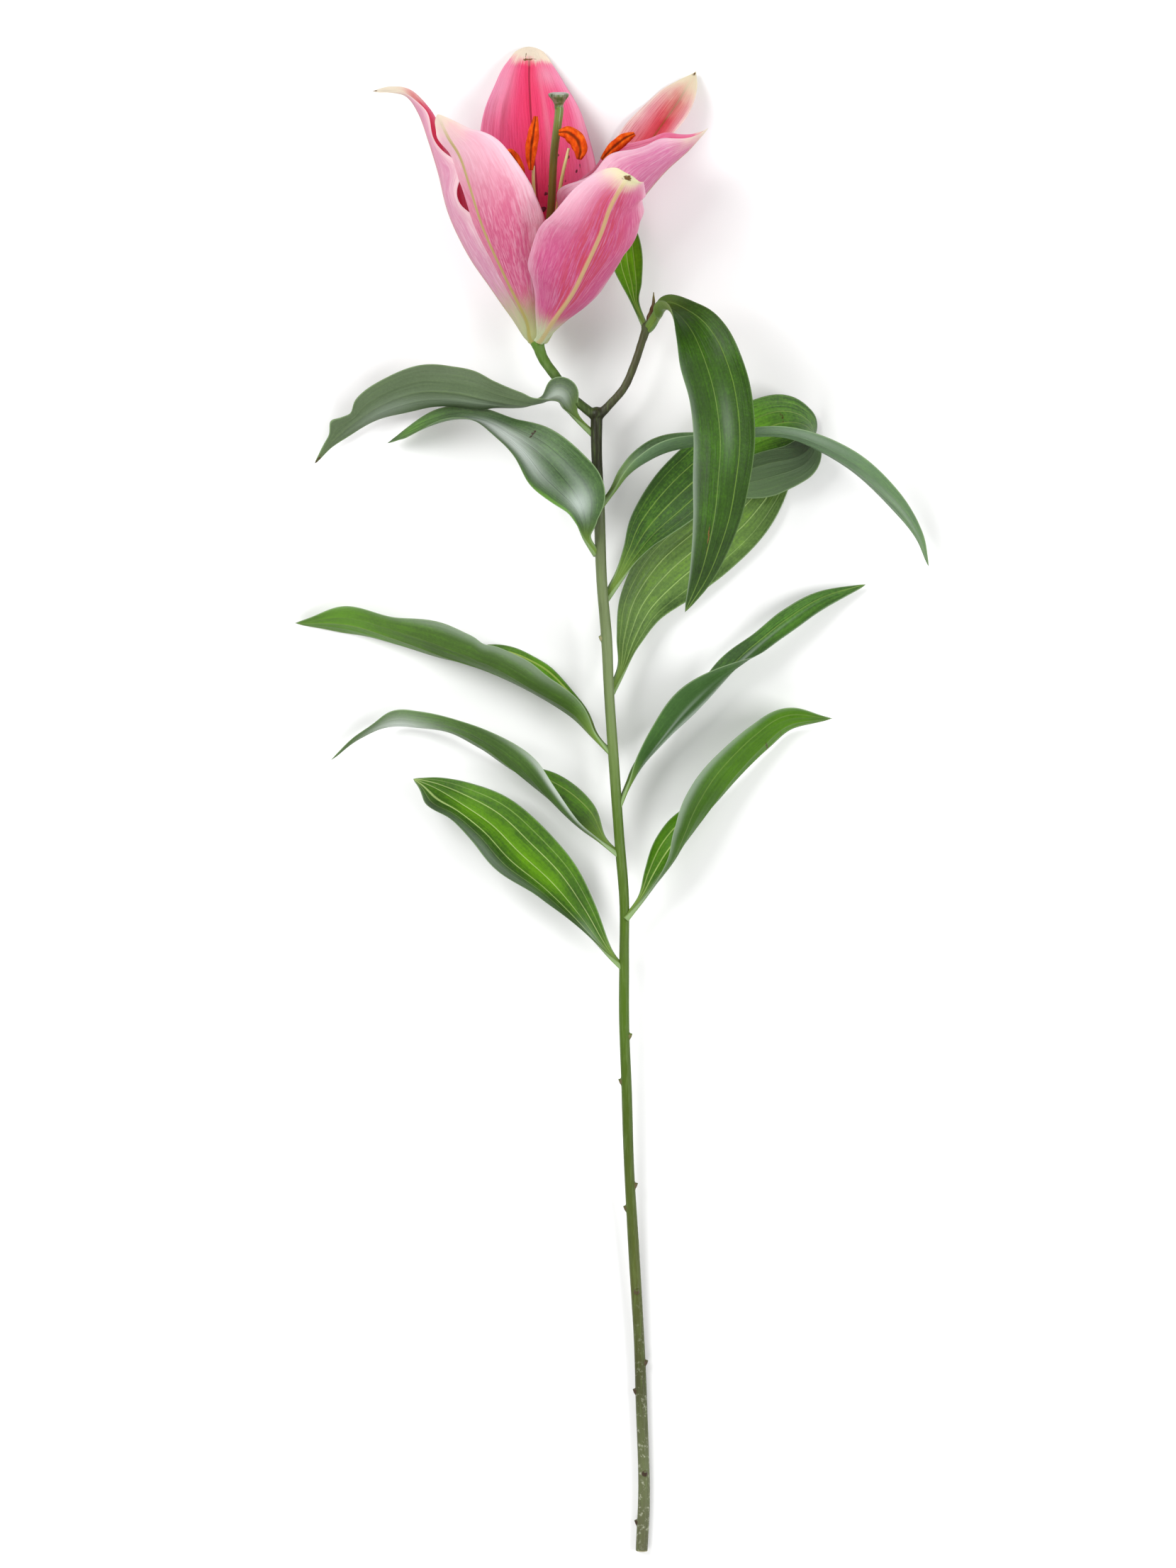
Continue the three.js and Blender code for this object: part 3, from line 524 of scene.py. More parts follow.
                 "veins": [(0, 0.6, 0.4), (-0.42, 0.9, 0.5), (-0.72, 0.8, 0.4), (0.6, 0.8, 0.4)],
                 "veinColour": "#bcd67c", "greying": 0.45, "specular": 0.15},
    },
}

for name, leaf in leaves.items():
    shape = {**bladeShape, **leafShape, **leaf}
    buildBlade(name, shape, leafMaterial(name + "Blade", {**leafLook, **leaf["look"]}))
print("leaves:", len(leaves))


# Oriental lily tepal: a living petal, fleshy and satin, that lets light through. Inside it is crimson along
# the middle and pales to the margins; outside it is mauve under a net of pale veins, with a cream rib and a
# green white foot.
def tepalMaterial(name, look):
    made, add = startMaterial(name)
    across, half, along, share, inner, bright, mark, wart = [
        add("Attribute", output="Fac", attribute_name=key)
        for key in ("across", "half", "along", "share", "inner", "bright", "mark", "wart")]
    place = add("TexCoord", output="Object")
    side = add("Math", {0: across}, operation="ABSOLUTE")
    fromRibMm = add("Math", {0: side, 1: half}, operation="MULTIPLY")

    # Streaks and a net of dashes run along lines of |v| - fan * share. The two sides and faces have their
    # own. Clouds and a skin grain lie all over; the grain is coarser than real, to show.
    fanned = add("Math", {0: share, 1: -look["fan"], 2: side}, operation="MULTIPLY_ADD")
    which = add("Math", {0: across}, operation="SIGN")
    whichFace = add("Math", {0: inner, 1: 5.0, 2: which}, operation="MULTIPLY_ADD")
    fibres = []
    for lengthMm, count, detail, roughness, distortion in (look["streak"], look["dash"]):
        fibreX = add("Math", {0: along, 1: 1 / lengthMm}, operation="MULTIPLY")
        fibreY = add("Math", {0: fanned, 1: count}, operation="MULTIPLY")
        fibreAt = add("CombineXYZ", {0: fibreX, 1: fibreY, 2: whichFace})
        fibres.append(add("TexNoise", {"Vector": fibreAt, "Scale": 1.0, "Detail": detail,
                                       "Roughness": roughness, "Distortion": distortion}))
    streak, net = fibres
    cloud = add("TexNoise", {"Vector": place, "Scale": 1000 / look["cloudMm"], "Detail": 3.0})
    grain = add("TexNoise", {"Vector": place, "Scale": 1000 / look["grainMm"], "Detail": 2.0})
    streakOff = add("Math", {0: streak, 1: 0.5}, operation="SUBTRACT")
    cloudOff = add("Math", {0: cloud, 1: 0.5}, operation="SUBTRACT")

    # Uneven measures: the way to the tip, margin and foot, the warts, the marks and the relief, each with
    # shares of the noises added.
    sums = []
    for total, parts in (
            (share, ((cloudOff, 0.16), (streakOff, 0.08))), (side, ((streakOff, 0.35), (cloudOff, 0.3))),
            (share, ((streakOff, 0.25),)), (wart, ((grain, 0.2),)), (mark, ((grain, 0.6),)),
            (streak, ((net, 0.7), (grain, 0.3)))):
        for noise, weight in parts:
            total = add("Math", {0: noise, 1: weight, 2: total}, operation="MULTIPLY_ADD")
        sums.append(total)
    tipAt, toMargin, footAt, warted, torn, height = sums

    # Each mask goes smoothly from one amount to another as its measure goes between two limits.
    masks = {"bright": bright}
    for key, source, start, end, low, high in (
            ("throat", share, 0.2, 0.72, look["depth"], 0.0),
            ("darkStreak", streak, 0.55, 0.36, 0.0, look["streaks"]),
            ("innerRib", fromRibMm, 0.15, look["innerRibHalf"], 0.85, 0.0),
            ("innerTip", tipAt, *look["innerTip"], 0.0, 1.0), ("wart", warted, 0.45, 0.7, 0.0, 1.0),
            ("net", net, 0.4, 0.66, 0.0, look["net"]), ("nearRib", side, 0.62, 0.1, 0.0, look["stripes"]),
            ("between", streak, 0.56, 0.44, 0.0, 1.0), ("fineLine", streak, 0.52, 0.66, 0.0, look["lines"]),
            ("margin", toMargin, look["marginFrom"], 1.06, 0.0, look["margin"]),
            ("foot", footAt, 0.06, look["footTo"], 1.0, 0.0),
            ("rib", fromRibMm, 0.4 * look["ribHalf"], look["ribHalf"], look["ribAmount"], 0.0),
            ("outerTip", tipAt, *look["outerTip"], 0.0, 1.0), ("withered", torn, 0.6, 0.85, 0.0, 1.0)):
        masks[key] = add("MapRange", {"Value": source, "From Min": start, "From Max": end, "To Min": low,
                                      "To Max": high}, interpolation_type="SMOOTHSTEP")
    masks["stripe"] = add("Math", {0: masks["nearRib"], 1: masks["between"]}, operation="MULTIPLY")
    masks["patch"] = add("Math", {0: bright, 1: look["patches"]}, operation="MULTIPLY")

    # Inner face: crimson core to pale margin, deeper towards the throat, with a dark line along the rib.
    # Outer face: flush under a pale net, stripes beside the rib, pale margin, green foot and cream rib.
    innerFace = add("ValToRGB", {0: toMargin}, stops=[
        (0.0, look["core"]), (0.3, look["inside"]), (0.72, look["insideSide"]), (1.0, look["insideMargin"])])
    for mask, tint in (("throat", "throat"), ("darkStreak", "throat"), ("innerRib", "innerRib"),
                       ("patch", "pale"), ("innerTip", "tip"), ("wart", "freckle")):
        innerFace = add("Mix", {0: masks[mask], 6: innerFace, 7: colour(look[tint])}, 2, data_type="RGBA")
    outerFace = colour(look["flush"])
    for mask, tint in (("net", "veil"), ("stripe", "stripe"), ("fineLine", "pale"), ("bright", "pale"),
                       ("margin", "pale"), ("foot", "foot"), ("rib", "rib"), ("outerTip", "tip")):
        outerFace = add("Mix", {0: masks[mask], 6: outerFace, 7: colour(look[tint])}, 2, data_type="RGBA")
    faces = add("Mix", {0: inner, 6: outerFace, 7: innerFace}, 2, data_type="RGBA")
    shown = add("Mix", {0: masks["withered"], 6: faces, 7: colour(look["withered"])}, 2, data_type="RGBA")

    finishBlade(add, shown, height, streak, look)
    return made


# Shared by every sepal and petal unless its own dictionary says otherwise. Streak and dash: length in mm,
# count across, detail, roughness and distortion of their noise, so that the streaks lie 1.2 mm apart and the
# dashes of the net 1 mm.
tepalShape = {
    "grid": (170, 60), "roundTip": 0.06, "edgePower": 10, "thickness": (0.4, 1.0, 1.8, 0.12), "ribWidth": 1.5,
    "groove": 0.5, "grooveWidth": 1.1, "grooves": [(0, 1)],
}
tepalLook = {
    "core": "#d92558", "inside": "#ea3f78", "insideSide": "#f2689c", "insideMargin": "#f7a3c6",
    "throat": "#b80d42", "depth": 0.6, "streaks": 0.2, "innerRib": "#a30f35", "innerRibHalf": 0.7,
    "innerTip": (0.93, 0.985), "outerTip": (0.86, 0.98), "tip": "#f6ecd9", "flush": "#d9749f",
    "veil": "#f0b4d0", "net": 0.4, "stripe": "#c04478", "stripes": 0.45, "lines": 0.3, "pale": "#fae6ef",
    "marginFrom": 0.6, "margin": 0.8, "patches": 0.0, "foot": "#c6d29c", "footTo": 0.24, "rib": "#c2bf72",
    "ribHalf": 0.95, "ribAmount": 0.85, "fan": 0.3, "freckle": "#6d0c2c", "withered": "#7d5a2c",
    "streak": (20, 34.0, 4.0, 0.6, 0.3), "dash": (5, 30.0, 2.0, 0.5, 0.8), "cloudMm": 14, "grainMm": 0.9,
    "bumpMm": 0.5, "roughness": 0.42, "roughSpread": 0.16, "ior": 1.4, "specular": 0.5, "sheen": 0.1,
    "translucence": 0.34,
}

# Papillae of the inner faces, scattered over their lower half, and dark freckles.
scatter = np.random.default_rng(7)
warts = [(float(a), float(b), 0.008, 0.035, 0.0, 1.0) for a, b in
         zip(scatter.uniform(0.18, 0.5, 40), scatter.uniform(-0.8, 0.8, 40))]
freckles = [
    (0.52, 0.21, 0.006, 0.022, 0.0, 1.2), (0.61, 0.56, 0.006, 0.022, 0.0, 1.2),
    (0.575, 0.74, 0.006, 0.022, 0.0, 1.2), (0.56, 0.66, 0.005, 0.02, 0.0, 1.1),
    (0.535, 0.48, 0.006, 0.022, 0.0, 1.2), (0.62, 0.41, 0.005, 0.02, 0.0, 1.1),
    (0.49, 0.32, 0.006, 0.022, 0.0, 1.2),
]

tepals = {
    "sepalFront": {
        "node": "sepal_front", "slot": "sepal",
        "rows": [
            [-29.2, 182.0, 22.8, 2.0, -150, 40],
            [-27.4, 183.8, 26, 2.8, -150, 40], [-23, 190, 36, 8.6, -148, 45], [-16, 199, 50.5, 17, -146, 46],
            [-10, 210, 64, 22.5, -145, 48], [-5, 220, 76, 23.5, -144, 50], [-1, 230, 88, 19, -146, 48],
            [4, 238, 97, 10.5, -150, 50], [7, 241, 101, 2.5, -152, 30],
        ],
        "bulges": [(0.55, 0.13, -1, 0.38), (0.32, 0.12, -1, -0.06), (0.35, 0.12, 1, 0.15),
                   (0.82, 0.12, 1, -0.12)],
        "ripples": [(-1, 1.0, 7, 0.1, 0.4, 0.95), (1, 0.5, 4, 0.1, 0.4, 0.95)],
        "mark": [(0.985, 0, 0.02, 0.4, 0, 0.7)],
        "bright": [(0.88, 0.85, 0.2, 0.4, 0, 0.6), (0.97, -0.2, 0.06, 1.2, 0, 0.6),
                   (0.75, -1.0, 0.2, 0.2, 0, 0.4)],
        "look": {"flush": "#d35790", "veil": "#e88cb8", "stripe": "#d5485e", "rib": "#dcc98a",
                 "ribHalf": 1.15, "foot": "#d3deb4", "tip": "#f4f0c8", "outerTip": (0.9, 1.0), "net": 0.42,
                 "lines": 0.16, "stripes": 0.85, "fan": 0.12, "margin": 0.4, "marginFrom": 0.72, "footTo": 0.2},
    },
    "petalRight": {
        "node": "petal_right", "slot": "petal",
        "rows": [
            [-28.0, 182, 20.3, 2.2, -92, 30],
            [-25.6, 183.9, 20.8, 3.2, -92, 30], [-18, 195, 25, 9, -90, 70], [-9, 208, 29.5, 18, -88, 95],
            [1, 222, 33, 30, -86, 112], [10, 236, 36, 32.5, -84, 108], [20, 248, 38.5, 25, -84, 94],
            [30, 257, 41, 12, -84, 70], [38, 265, 43, 1, -84, 10],
        ],
        "bulges": [(0.48, 0.1, 1, 0.28)],
        "ripples": [(0, 1.3, 6, 0.0, 0.3, 0.97)],
        "warts": warts,
        "look": {"flush": "#dc84b4", "veil": "#f2c0da", "marginFrom": 0.68, "margin": 0.75, "fan": 0.15},
    },
    "sepalRight": {
        "node": "sepal_right", "slot": "sepal",
        "rows": [
            [-28.4, 182.4, 17.8, 2.2, -50, 30],
            [-25.8, 184.8, 15.6, 3.0, -50, 30], [-19.5, 198, 11, 5.5, -50, 38], [-7.5, 222, 8.4, 10, -46, 36],
            [6, 249, 8.2, 13.5, -44, 35], [18, 267, 7, 13, -42, 32], [27, 280, 5, 10, -40, 30],
            [34, 292, 2.5, 0.6, -38, 10],
        ],
        "ripples": [(0, 0.8, 4, 0.3, 0.3, 0.95)],
        "mark": [(0.99, 0, 0.012, 1, 0, 0.6)],
        "look": {"core": "#d42a38", "inside": "#e85866", "insideSide": "#f3aab4", "insideMargin": "#fbeee4",
                 "innerRib": "#a8501f", "innerRibHalf": 1.0, "innerTip": (0.8, 1.0), "tip": "#f3ecd0",
                 "depth": 0.3, "streaks": 0.35},
    },
    "petalBack": {
        "node": "petal_back", "slot": "petal",
        "rows": [
            [-30.1, 182.4, 17.6, 2.2, 10, 30],
            [-30.2, 185.2, 16.4, 3.4, 10, 30], [-30, 198, 13.5, 9, 10, 45], [-29, 221, 12, 19, 9, 36],
            [-30, 245, 11, 24.8, 8, 30], [-32, 269, 8, 21.4, 5, 26], [-33, 287, 4, 13.8, 3, 22],
            [-33, 296, 2.4, 8.5, 2, 16], [-33, 302, 1.2, 4, 2, 10],
        ],
        "ripples": [(0, 0.9, 4, 0.2, 0.3, 0.95)],
        "dents": [(0.96, 0.2, 0.015, 0.3, 0, 0.9), (0.94, -0.4, 0.012, 0.3, 0, -0.7),
                  (0.8, -0.62, 0.12, 0.07, 0, 1.0)],
        "warts": warts + freckles,
        "bright": [(0.86, -0.75, 0.13, 0.3, 0, 0.5), (0.7, 0.95, 0.2, 0.1, 0, 0.35),
                   (0.9, 0.6, 0.05, 0.3, 0, 0.5), (0.75, 0.3, 0.15, 0.06, 0.2, 0.25)],
        "mark": [(0.955, 0.0, 0.004, 0.5, 0.02, 0.55), (0.97, -0.2, 0.02, 0.05, 0, 0.5)],
        "look": {"core": "#ff3f74", "inside": "#fc4a84", "insideSide": "#f8649c", "insideMargin": "#f795bd",
                 "pale": "#f6cfe2", "patches": 0.9, "throat": "#cf1450", "depth": 0.75, "streaks": 0.3,
                 "innerTip": (0.935, 0.975)},
    },
    "sepalLeft": {
        "node": "sepal_left", "slot": "sepal",
        "rows": [
            [-31.6, 182.3, 19.6, 2.2, 84, 30],
            [-34.8, 184.9, 19.2, 3.6, 84, 50], [-40, 193, 20, 6.8, 84, 56], [-47.6, 204, 21, 9.6, 83, 50],
            [-56.5, 217, 22, 12.5, 82, 48], [-64.2, 233, 24.5, 15.2, 82, 54], [-68.3, 249, 27.8, 14, 82, 56],
            [-72, 261, 30.2, 10, 82, 50], [-76, 272, 32.2, 7.5, 80, 45], [-81, 279, 33.3, 4.5, 70, 40],
            [-88, 280.8, 32.8, 3, 60, 30], [-95, 280.8, 32, 0.6, 55, 10],
        ],
        "bulges": [(0.3, 0.16, -1, 0.6), (0.63, 0.04, -1, 0.3), (0.1, 0.1, -1, 0.5)],
        "ripples": [(-1, 1.2, 5, 0.1, 0.35, 0.9), (1, 0.7, 4, 0.1, 0.3, 0.9)],
        "mark": [(0.99, 0, 0.012, 1, 0, 0.6)],
        "look": {"core": "#e8204a", "inside": "#ee2a52", "insideSide": "#f0406a", "insideMargin": "#f28aa8",
                 "throat": "#e01c48", "innerTip": (0.82, 0.92), "outerTip": (0.82, 0.93), "flush": "#dc9abb",
                 "veil": "#f0d0e0", "pale": "#f8eaea", "stripes": 0.35, "foot": "#c6cc9c"},
    },
    "petalLeft": {
        "node": "petal_left", "slot": "petal",
        "rows": [
            [-31.0, 181.8, 21.2, 2.2, 134, 40],
            [-32.3, 183.9, 22.9, 3.2, 134, 40], [-34, 191, 28, 8, 125, 60], [-42, 207, 41.5, 18.5, 119, 64],
            [-50, 224, 54, 27.5, 118, 62], [-55, 239, 62.5, 28.5, 118, 58], [-59, 251, 69, 21, 121, 50],
            [-64, 259, 74, 11, 126, 40], [-68, 267, 78, 2, 128, 20],
        ],
        "bulges": [(0.3, 0.12, 1, 0.3)],
        "ripples": [(0, 0.5, 4, 0.1, 0.35, 0.95)],
        "bright": [(0.92, 0, 0.22, 1.6, 0, 0.75), (0.7, 0.9, 0.3, 0.35, 0, 0.3)],
        "look": {"flush": "#da5c8c", "veil": "#f0a8c6", "rib": "#bdb45c", "ribHalf": 1.2, "stripes": 0.25,
                 "net": 0.55, "lines": 0.2, "fan": 0.35, "foot": "#bfc488", "footTo": 0.28},
    },
}

for name, tepal in tepals.items():
    shape = {**bladeShape, **tepalShape, **tepal}
    buildBlade(name, shape, tepalMaterial(name + "Skin", {**tepalLook, **tepal["look"]}))
print("sepals and petals:", len(tepals))


# A rod is a ring carried along a curve: centre + radius * (1 + lobe) * (sideways * cos a + up * sin a).
def rodPoints(rows, steps, sides, lobe):
    u = np.linspace(0, 1, steps + 1)
    station = smoothRows(rows, u)
    upward, sideways = framesAlong(station[:, :3], u)[1:]
    angle = np.linspace(0, 2 * np.pi, sides, endpoint=False)
    swell = np.broadcast_to(lobe(u[:, None], angle[None, :]), (steps + 1, sides))
    ring = np.cos(angle)[None, :, None] * sideways[:, None] + np.sin(angle)[None, :, None] * upward[:, None]
    points = station[:, None, :3] + (station[:, 3:4] * (1 + swell))[..., None] * ring
    return np.vstack([points.reshape(-1, 3), station[:1, :3], station[-1:, :3]]), swell


# Quads round the rod, and a fan of triangles to the point that closes either end.
def rodFaces(steps, sides):
    index = np.arange((steps + 1) * sides).reshape(steps + 1, sides)
    following = np.roll(index, -1, axis=1)
    quads = np.stack([index[:-1], index[1:], following[1:], following[:-1]], -1).reshape(-1, 4)
    foot, head = (steps + 1) * sides, (steps + 1) * sides + 1
    start = np.stack([np.full(sides, foot), index[0], following[0]], -1)
    end = np.stack([np.full(sides, head), following[-1], index[-1]], -1)
    return quads.tolist() + start.tolist() + end.tolist()


def buildRod(name, rod, rows, material, replaced):
    steps, sides = rod["grid"]
    points, swell = rodPoints(rows, steps, sides, rod["lobe"])
    share = np.concatenate([np.repeat(np.linspace(0, 1, steps + 1), sides), [0, 1]])
    # How deep each point lies in a groove, for the painted shade there.
    grooveShade = np.concatenate([np.clip(-swell, 0, 1).ravel(), [0, 0]])
    attributes = {"share": share, "grooveShade": grooveShade}
    addPiece(name, points, rodFaces(steps, sides), material, replaced, attributes)


# Small soft parts share one build: noise of a real size in mm, drawn out along the part, colours it through
# its own three colours and raises it; the piece's own ends are tinted, and its grooves are darkened with
# painted shade.
def softMaterial(name, look):
    made, add = startMaterial(name)
    place = add("TexCoord", output="Object")
    share, grooveShade = [add("Attribute", output="Fac", attribute_name=key) for key in ("share", "grooveShade")]
    drawn = add("Mapping", {"Vector": place, "Scale": (1.0, look["drawn"], 1.0)})
    noise = add("TexNoise", {"Vector": drawn, "Scale": 1000 / look["grainMm"], "Detail": 4.0,
                             "Roughness": 0.6})
    fine = add("TexNoise", {"Vector": place, "Scale": 1000 / look["fineMm"], "Detail": 1.0})
    shown = add("ValToRGB", {0: noise}, stops=list(zip((0.32, 0.5, 0.68), look["colours"])))
    # The head tint at the far end, and painted shade darkening the grooves.
    for key, source, start, end, most in (("head", share, look["headFrom"], 1.0, look["headAmount"]),
                                          ("grooveShade", grooveShade, 0.04, 0.28, 0.85)):
        amount = add("MapRange", {"Value": source, "From Min": start, "From Max": end, "To Max": most},
                     interpolation_type="SMOOTHSTEP")
        shown = add("Mix", {0: amount, 6: shown, 7: colour(look[key])}, 2, data_type="RGBA")
    height = add("Math", {0: fine, 1: 0.5, 2: noise}, operation="MULTIPLY_ADD")
    bump = add("Bump", {"Height": height, "Strength": 0.5, "Distance": look["bumpMm"] * millimetre})
    surface = add("BsdfPrincipled", {"Base Color": shown, "Roughness": look["roughness"], "Normal": bump,
                                     "Specular IOR Level": look["specular"], "Coat Weight": look["coat"],
                                     "Coat Roughness": 0.25})
    add("OutputMaterial", {"Surface": surface})
    return made


# Pistil: a smooth living style, olive green, brown towards the foot, with three faint ridges. Its head is a
# sticky stigma of three lobes, grey green with a lilac bloom.
pistil = {
    "grid": (90, 30), "slot": "pistil", "lobe": lambda u, a: 0.07 * np.cos(3 * (a - np.pi / 2)),
    "rows": [
        [-29.5, 185, 20.5, 1.6], [-29, 192, 22, 2.1], [-27, 203, 24.5, 2.4], [-26, 219, 28, 1.7],
        [-24, 236, 31.5, 1.55], [-23, 255, 35.5, 1.55], [-21, 270.8, 38.9, 1.7], [-21, 274, 39.5, 1.8],
    ],
    "look": {"drawn": 0.1, "grainMm": 2.5, "fineMm": 0.33, "colours": ("#7c6f28", "#8c7e32", "#9c8a3a"),
             "headFrom": 0.2, "headAmount": 0.95, "head": "#5f7d33", "grooveShade": "#57602a", "bumpMm": 0.12,
             "roughness": 0.36, "specular": 0.5, "coat": 0.2},
}
stigma = {
    "grid": (40, 60), "slot": "stigma",
    "lobe": lambda u, a: (smoothStep(0.3, 0.75, u)
                          * (0.2 * np.cos(3 * (a - np.pi / 2)) + 0.03 * np.cos(11 * a))),
    "rows": [
        [-21, 272.6, 39.2, 1.3], [-21, 273.4, 39.4, 1.7], [-21, 274.8, 39.7, 1.9], [-21, 276.4, 40.1, 2.7],
        [-21, 277.8, 40.4, 3.6], [-21, 278.9, 40.6, 3.5], [-21, 279.3, 40.7, 1.6],
    ],
    "look": {"drawn": 1.0, "grainMm": 1.8, "fineMm": 0.33, "colours": ("#3d5a28", "#55693a", "#7f8468"),
             "headFrom": 0.8, "headAmount": 0.3, "head": "#a99fa8", "grooveShade": "#35482a", "bumpMm": 0.35,
             "roughness": 0.32, "specular": 0.5, "coat": 0.5},
}
buildRod("style", pistil, pistil["rows"], softMaterial("oliveStyle", pistil["look"]), "pistil")
buildRod("stigmaHead", stigma, stigma["rows"], softMaterial("stickyStigma", stigma["look"]), "stigma")

# Filaments: pale and smooth, thinning from foot to tip.
filaments = {
    "grid": (50, 14), "slot": "filament", "radii": (1.0, 0.55), "lobe": lambda u, a: 0.04 * np.cos(2 * a),
    "paths": [
        [[-29.5, 188, 25.5], [-30, 205, 33], [-30, 227, 39], [-31, 243, 43], [-31, 250, 44.5]],
        [[-26.5, 188, 22.5], [-24.5, 202, 29], [-23, 220, 35], [-21, 238, 40], [-19, 249, 43], [-17, 257, 44]],
        [[-32.3, 188, 21.3], [-35, 210, 28], [-37, 232, 33], [-38.5, 245, 35]],
        [[-32, 188, 19], [-38, 206, 21], [-44, 228, 23], [-47, 245, 26]],
        [[-26.5, 187, 19.5], [-20, 205, 24], [-12, 226, 29], [-5, 241, 33], [0, 251, 36]],
        [[-28.5, 188, 17.5], [-26, 200, 19.5], [-23, 214, 22], [-20, 225, 23.5]],
    ],
    "look": {"drawn": 0.1, "grainMm": 3.0, "fineMm": 0.33, "colours": ("#aeb060", "#c9c578", "#ded49a"),
             "headFrom": 0.6, "headAmount": 0.5, "head": "#d3cf9c", "grooveShade": "#9aa050", "bumpMm": 0.1,
             "roughness": 0.42, "specular": 0.4, "coat": 0.0},
}


# Anthers: two sacs, dusty with rust orange pollen, with one deep groove on top between them, a shallow one
# on either side and a fine grain. The radius swells as sin^swelling from end to end.
def antherLobe(u, a):
    grooves = 0.3 * np.exp(-((a - np.pi / 2) / 0.26) ** 2)
    grooves = grooves + 0.12 * np.exp(-((a - 0.1) / 0.2) ** 2) + 0.12 * np.exp(-((a - 3.0) / 0.2) ** 2)
    return 0.03 * np.sin(23 * u + 3 * a) - grooves


anthers = {
    "grid": (56, 44), "slot": "pollen", "swelling": 0.45, "lobe": antherLobe,
    "radii": (2.45, 3.3, 2.45, 2.45, 2.45, 2.45),
    "paths": [
        [[-32, 248, 47.5], [-32, 255, 48], [-31, 262, 49.5], [-30, 269, 50.5]],
        [[-21, 262.8, 48], [-17.3, 262.6, 48], [-13.8, 259.8, 47.5], [-12.5, 256, 47], [-13, 252.5, 46]],
        [[-42, 256, 39], [-40, 255, 39], [-37, 250, 38], [-35, 243, 37]],
        [[-49, 258, 30], [-48, 253, 29.5], [-45, 248, 29], [-43, 243, 28]],
        [[9, 263, 41], [5, 261, 41], [0, 257, 40], [-4, 253, 39]],
        [[-23, 233, 27], [-21, 230, 27], [-18, 226, 27], [-16, 221, 26.5]],
    ],
    "look": {"drawn": 0.5, "grainMm": 1.6, "fineMm": 0.33, "colours": ("#b8380a", "#d6500c", "#ea6c16"),
             "headFrom": 0.8, "headAmount": 0.3, "head": "#8a2c08", "grooveShade": "#5f2208", "bumpMm": 0.3,
             "roughness": 0.9, "specular": 0.1, "coat": 0.0},
}
filamentMaterial = softMaterial("paleFilament", filaments["look"])
pollenMaterial = softMaterial("rustPollen", anthers["look"])
for count, (path, tip, widest) in enumerate(zip(filaments["paths"], anthers["paths"], anthers["radii"]), 1):
    thinning = np.linspace(*filaments["radii"], len(path))
    rows = np.column_stack([path, thinning])
    buildRod(f"filament{count}", filaments, rows, filamentMaterial, f"filament_{count}")
    swell = np.sin(np.linspace(0.1, np.pi - 0.1, len(tip))) ** anthers["swelling"] * widest
    rows = np.column_stack([tip, swell])
    buildRod(f"anther{count}", anthers, rows, pollenMaterial, f"anther_{count}")
print("pistil and stamens:", len(anthers["paths"]))

# Dried bud: shrivelled and brown, wrinkled lengthways, with a thin spike.
driedBud = {
    "grid": (50, 30), "slot": "dried_bud",
    "lobe": lambda u, a: 0.2 * np.cos(5 * a + 6 * u) * (1 - u) + 0.1 * np.sin(25 * u + 2 * a),
    "rows": [[14.2, 187, 19, 1.2], [15.6, 192.5, 18.9, 1.3], [16.6, 197, 18.9, 0.75], [16.7, 202, 19, 0.2]],
    "look": {"drawn": 0.25, "grainMm": 1.6, "fineMm": 0.33, "colours": ("#2e1c12", "#563a24", "#83714a"),
             "headFrom": 0.5, "headAmount": 0.7, "head": "#7c7a4a", "grooveShade": "#24150d", "bumpMm": 0.4,
             "roughness": 0.8, "specular": 0.25, "coat": 0.0},
}
buildRod("driedBud", driedBud, driedBud["rows"], softMaterial("shrivelledBud", driedBud["look"]), "dried_bud")

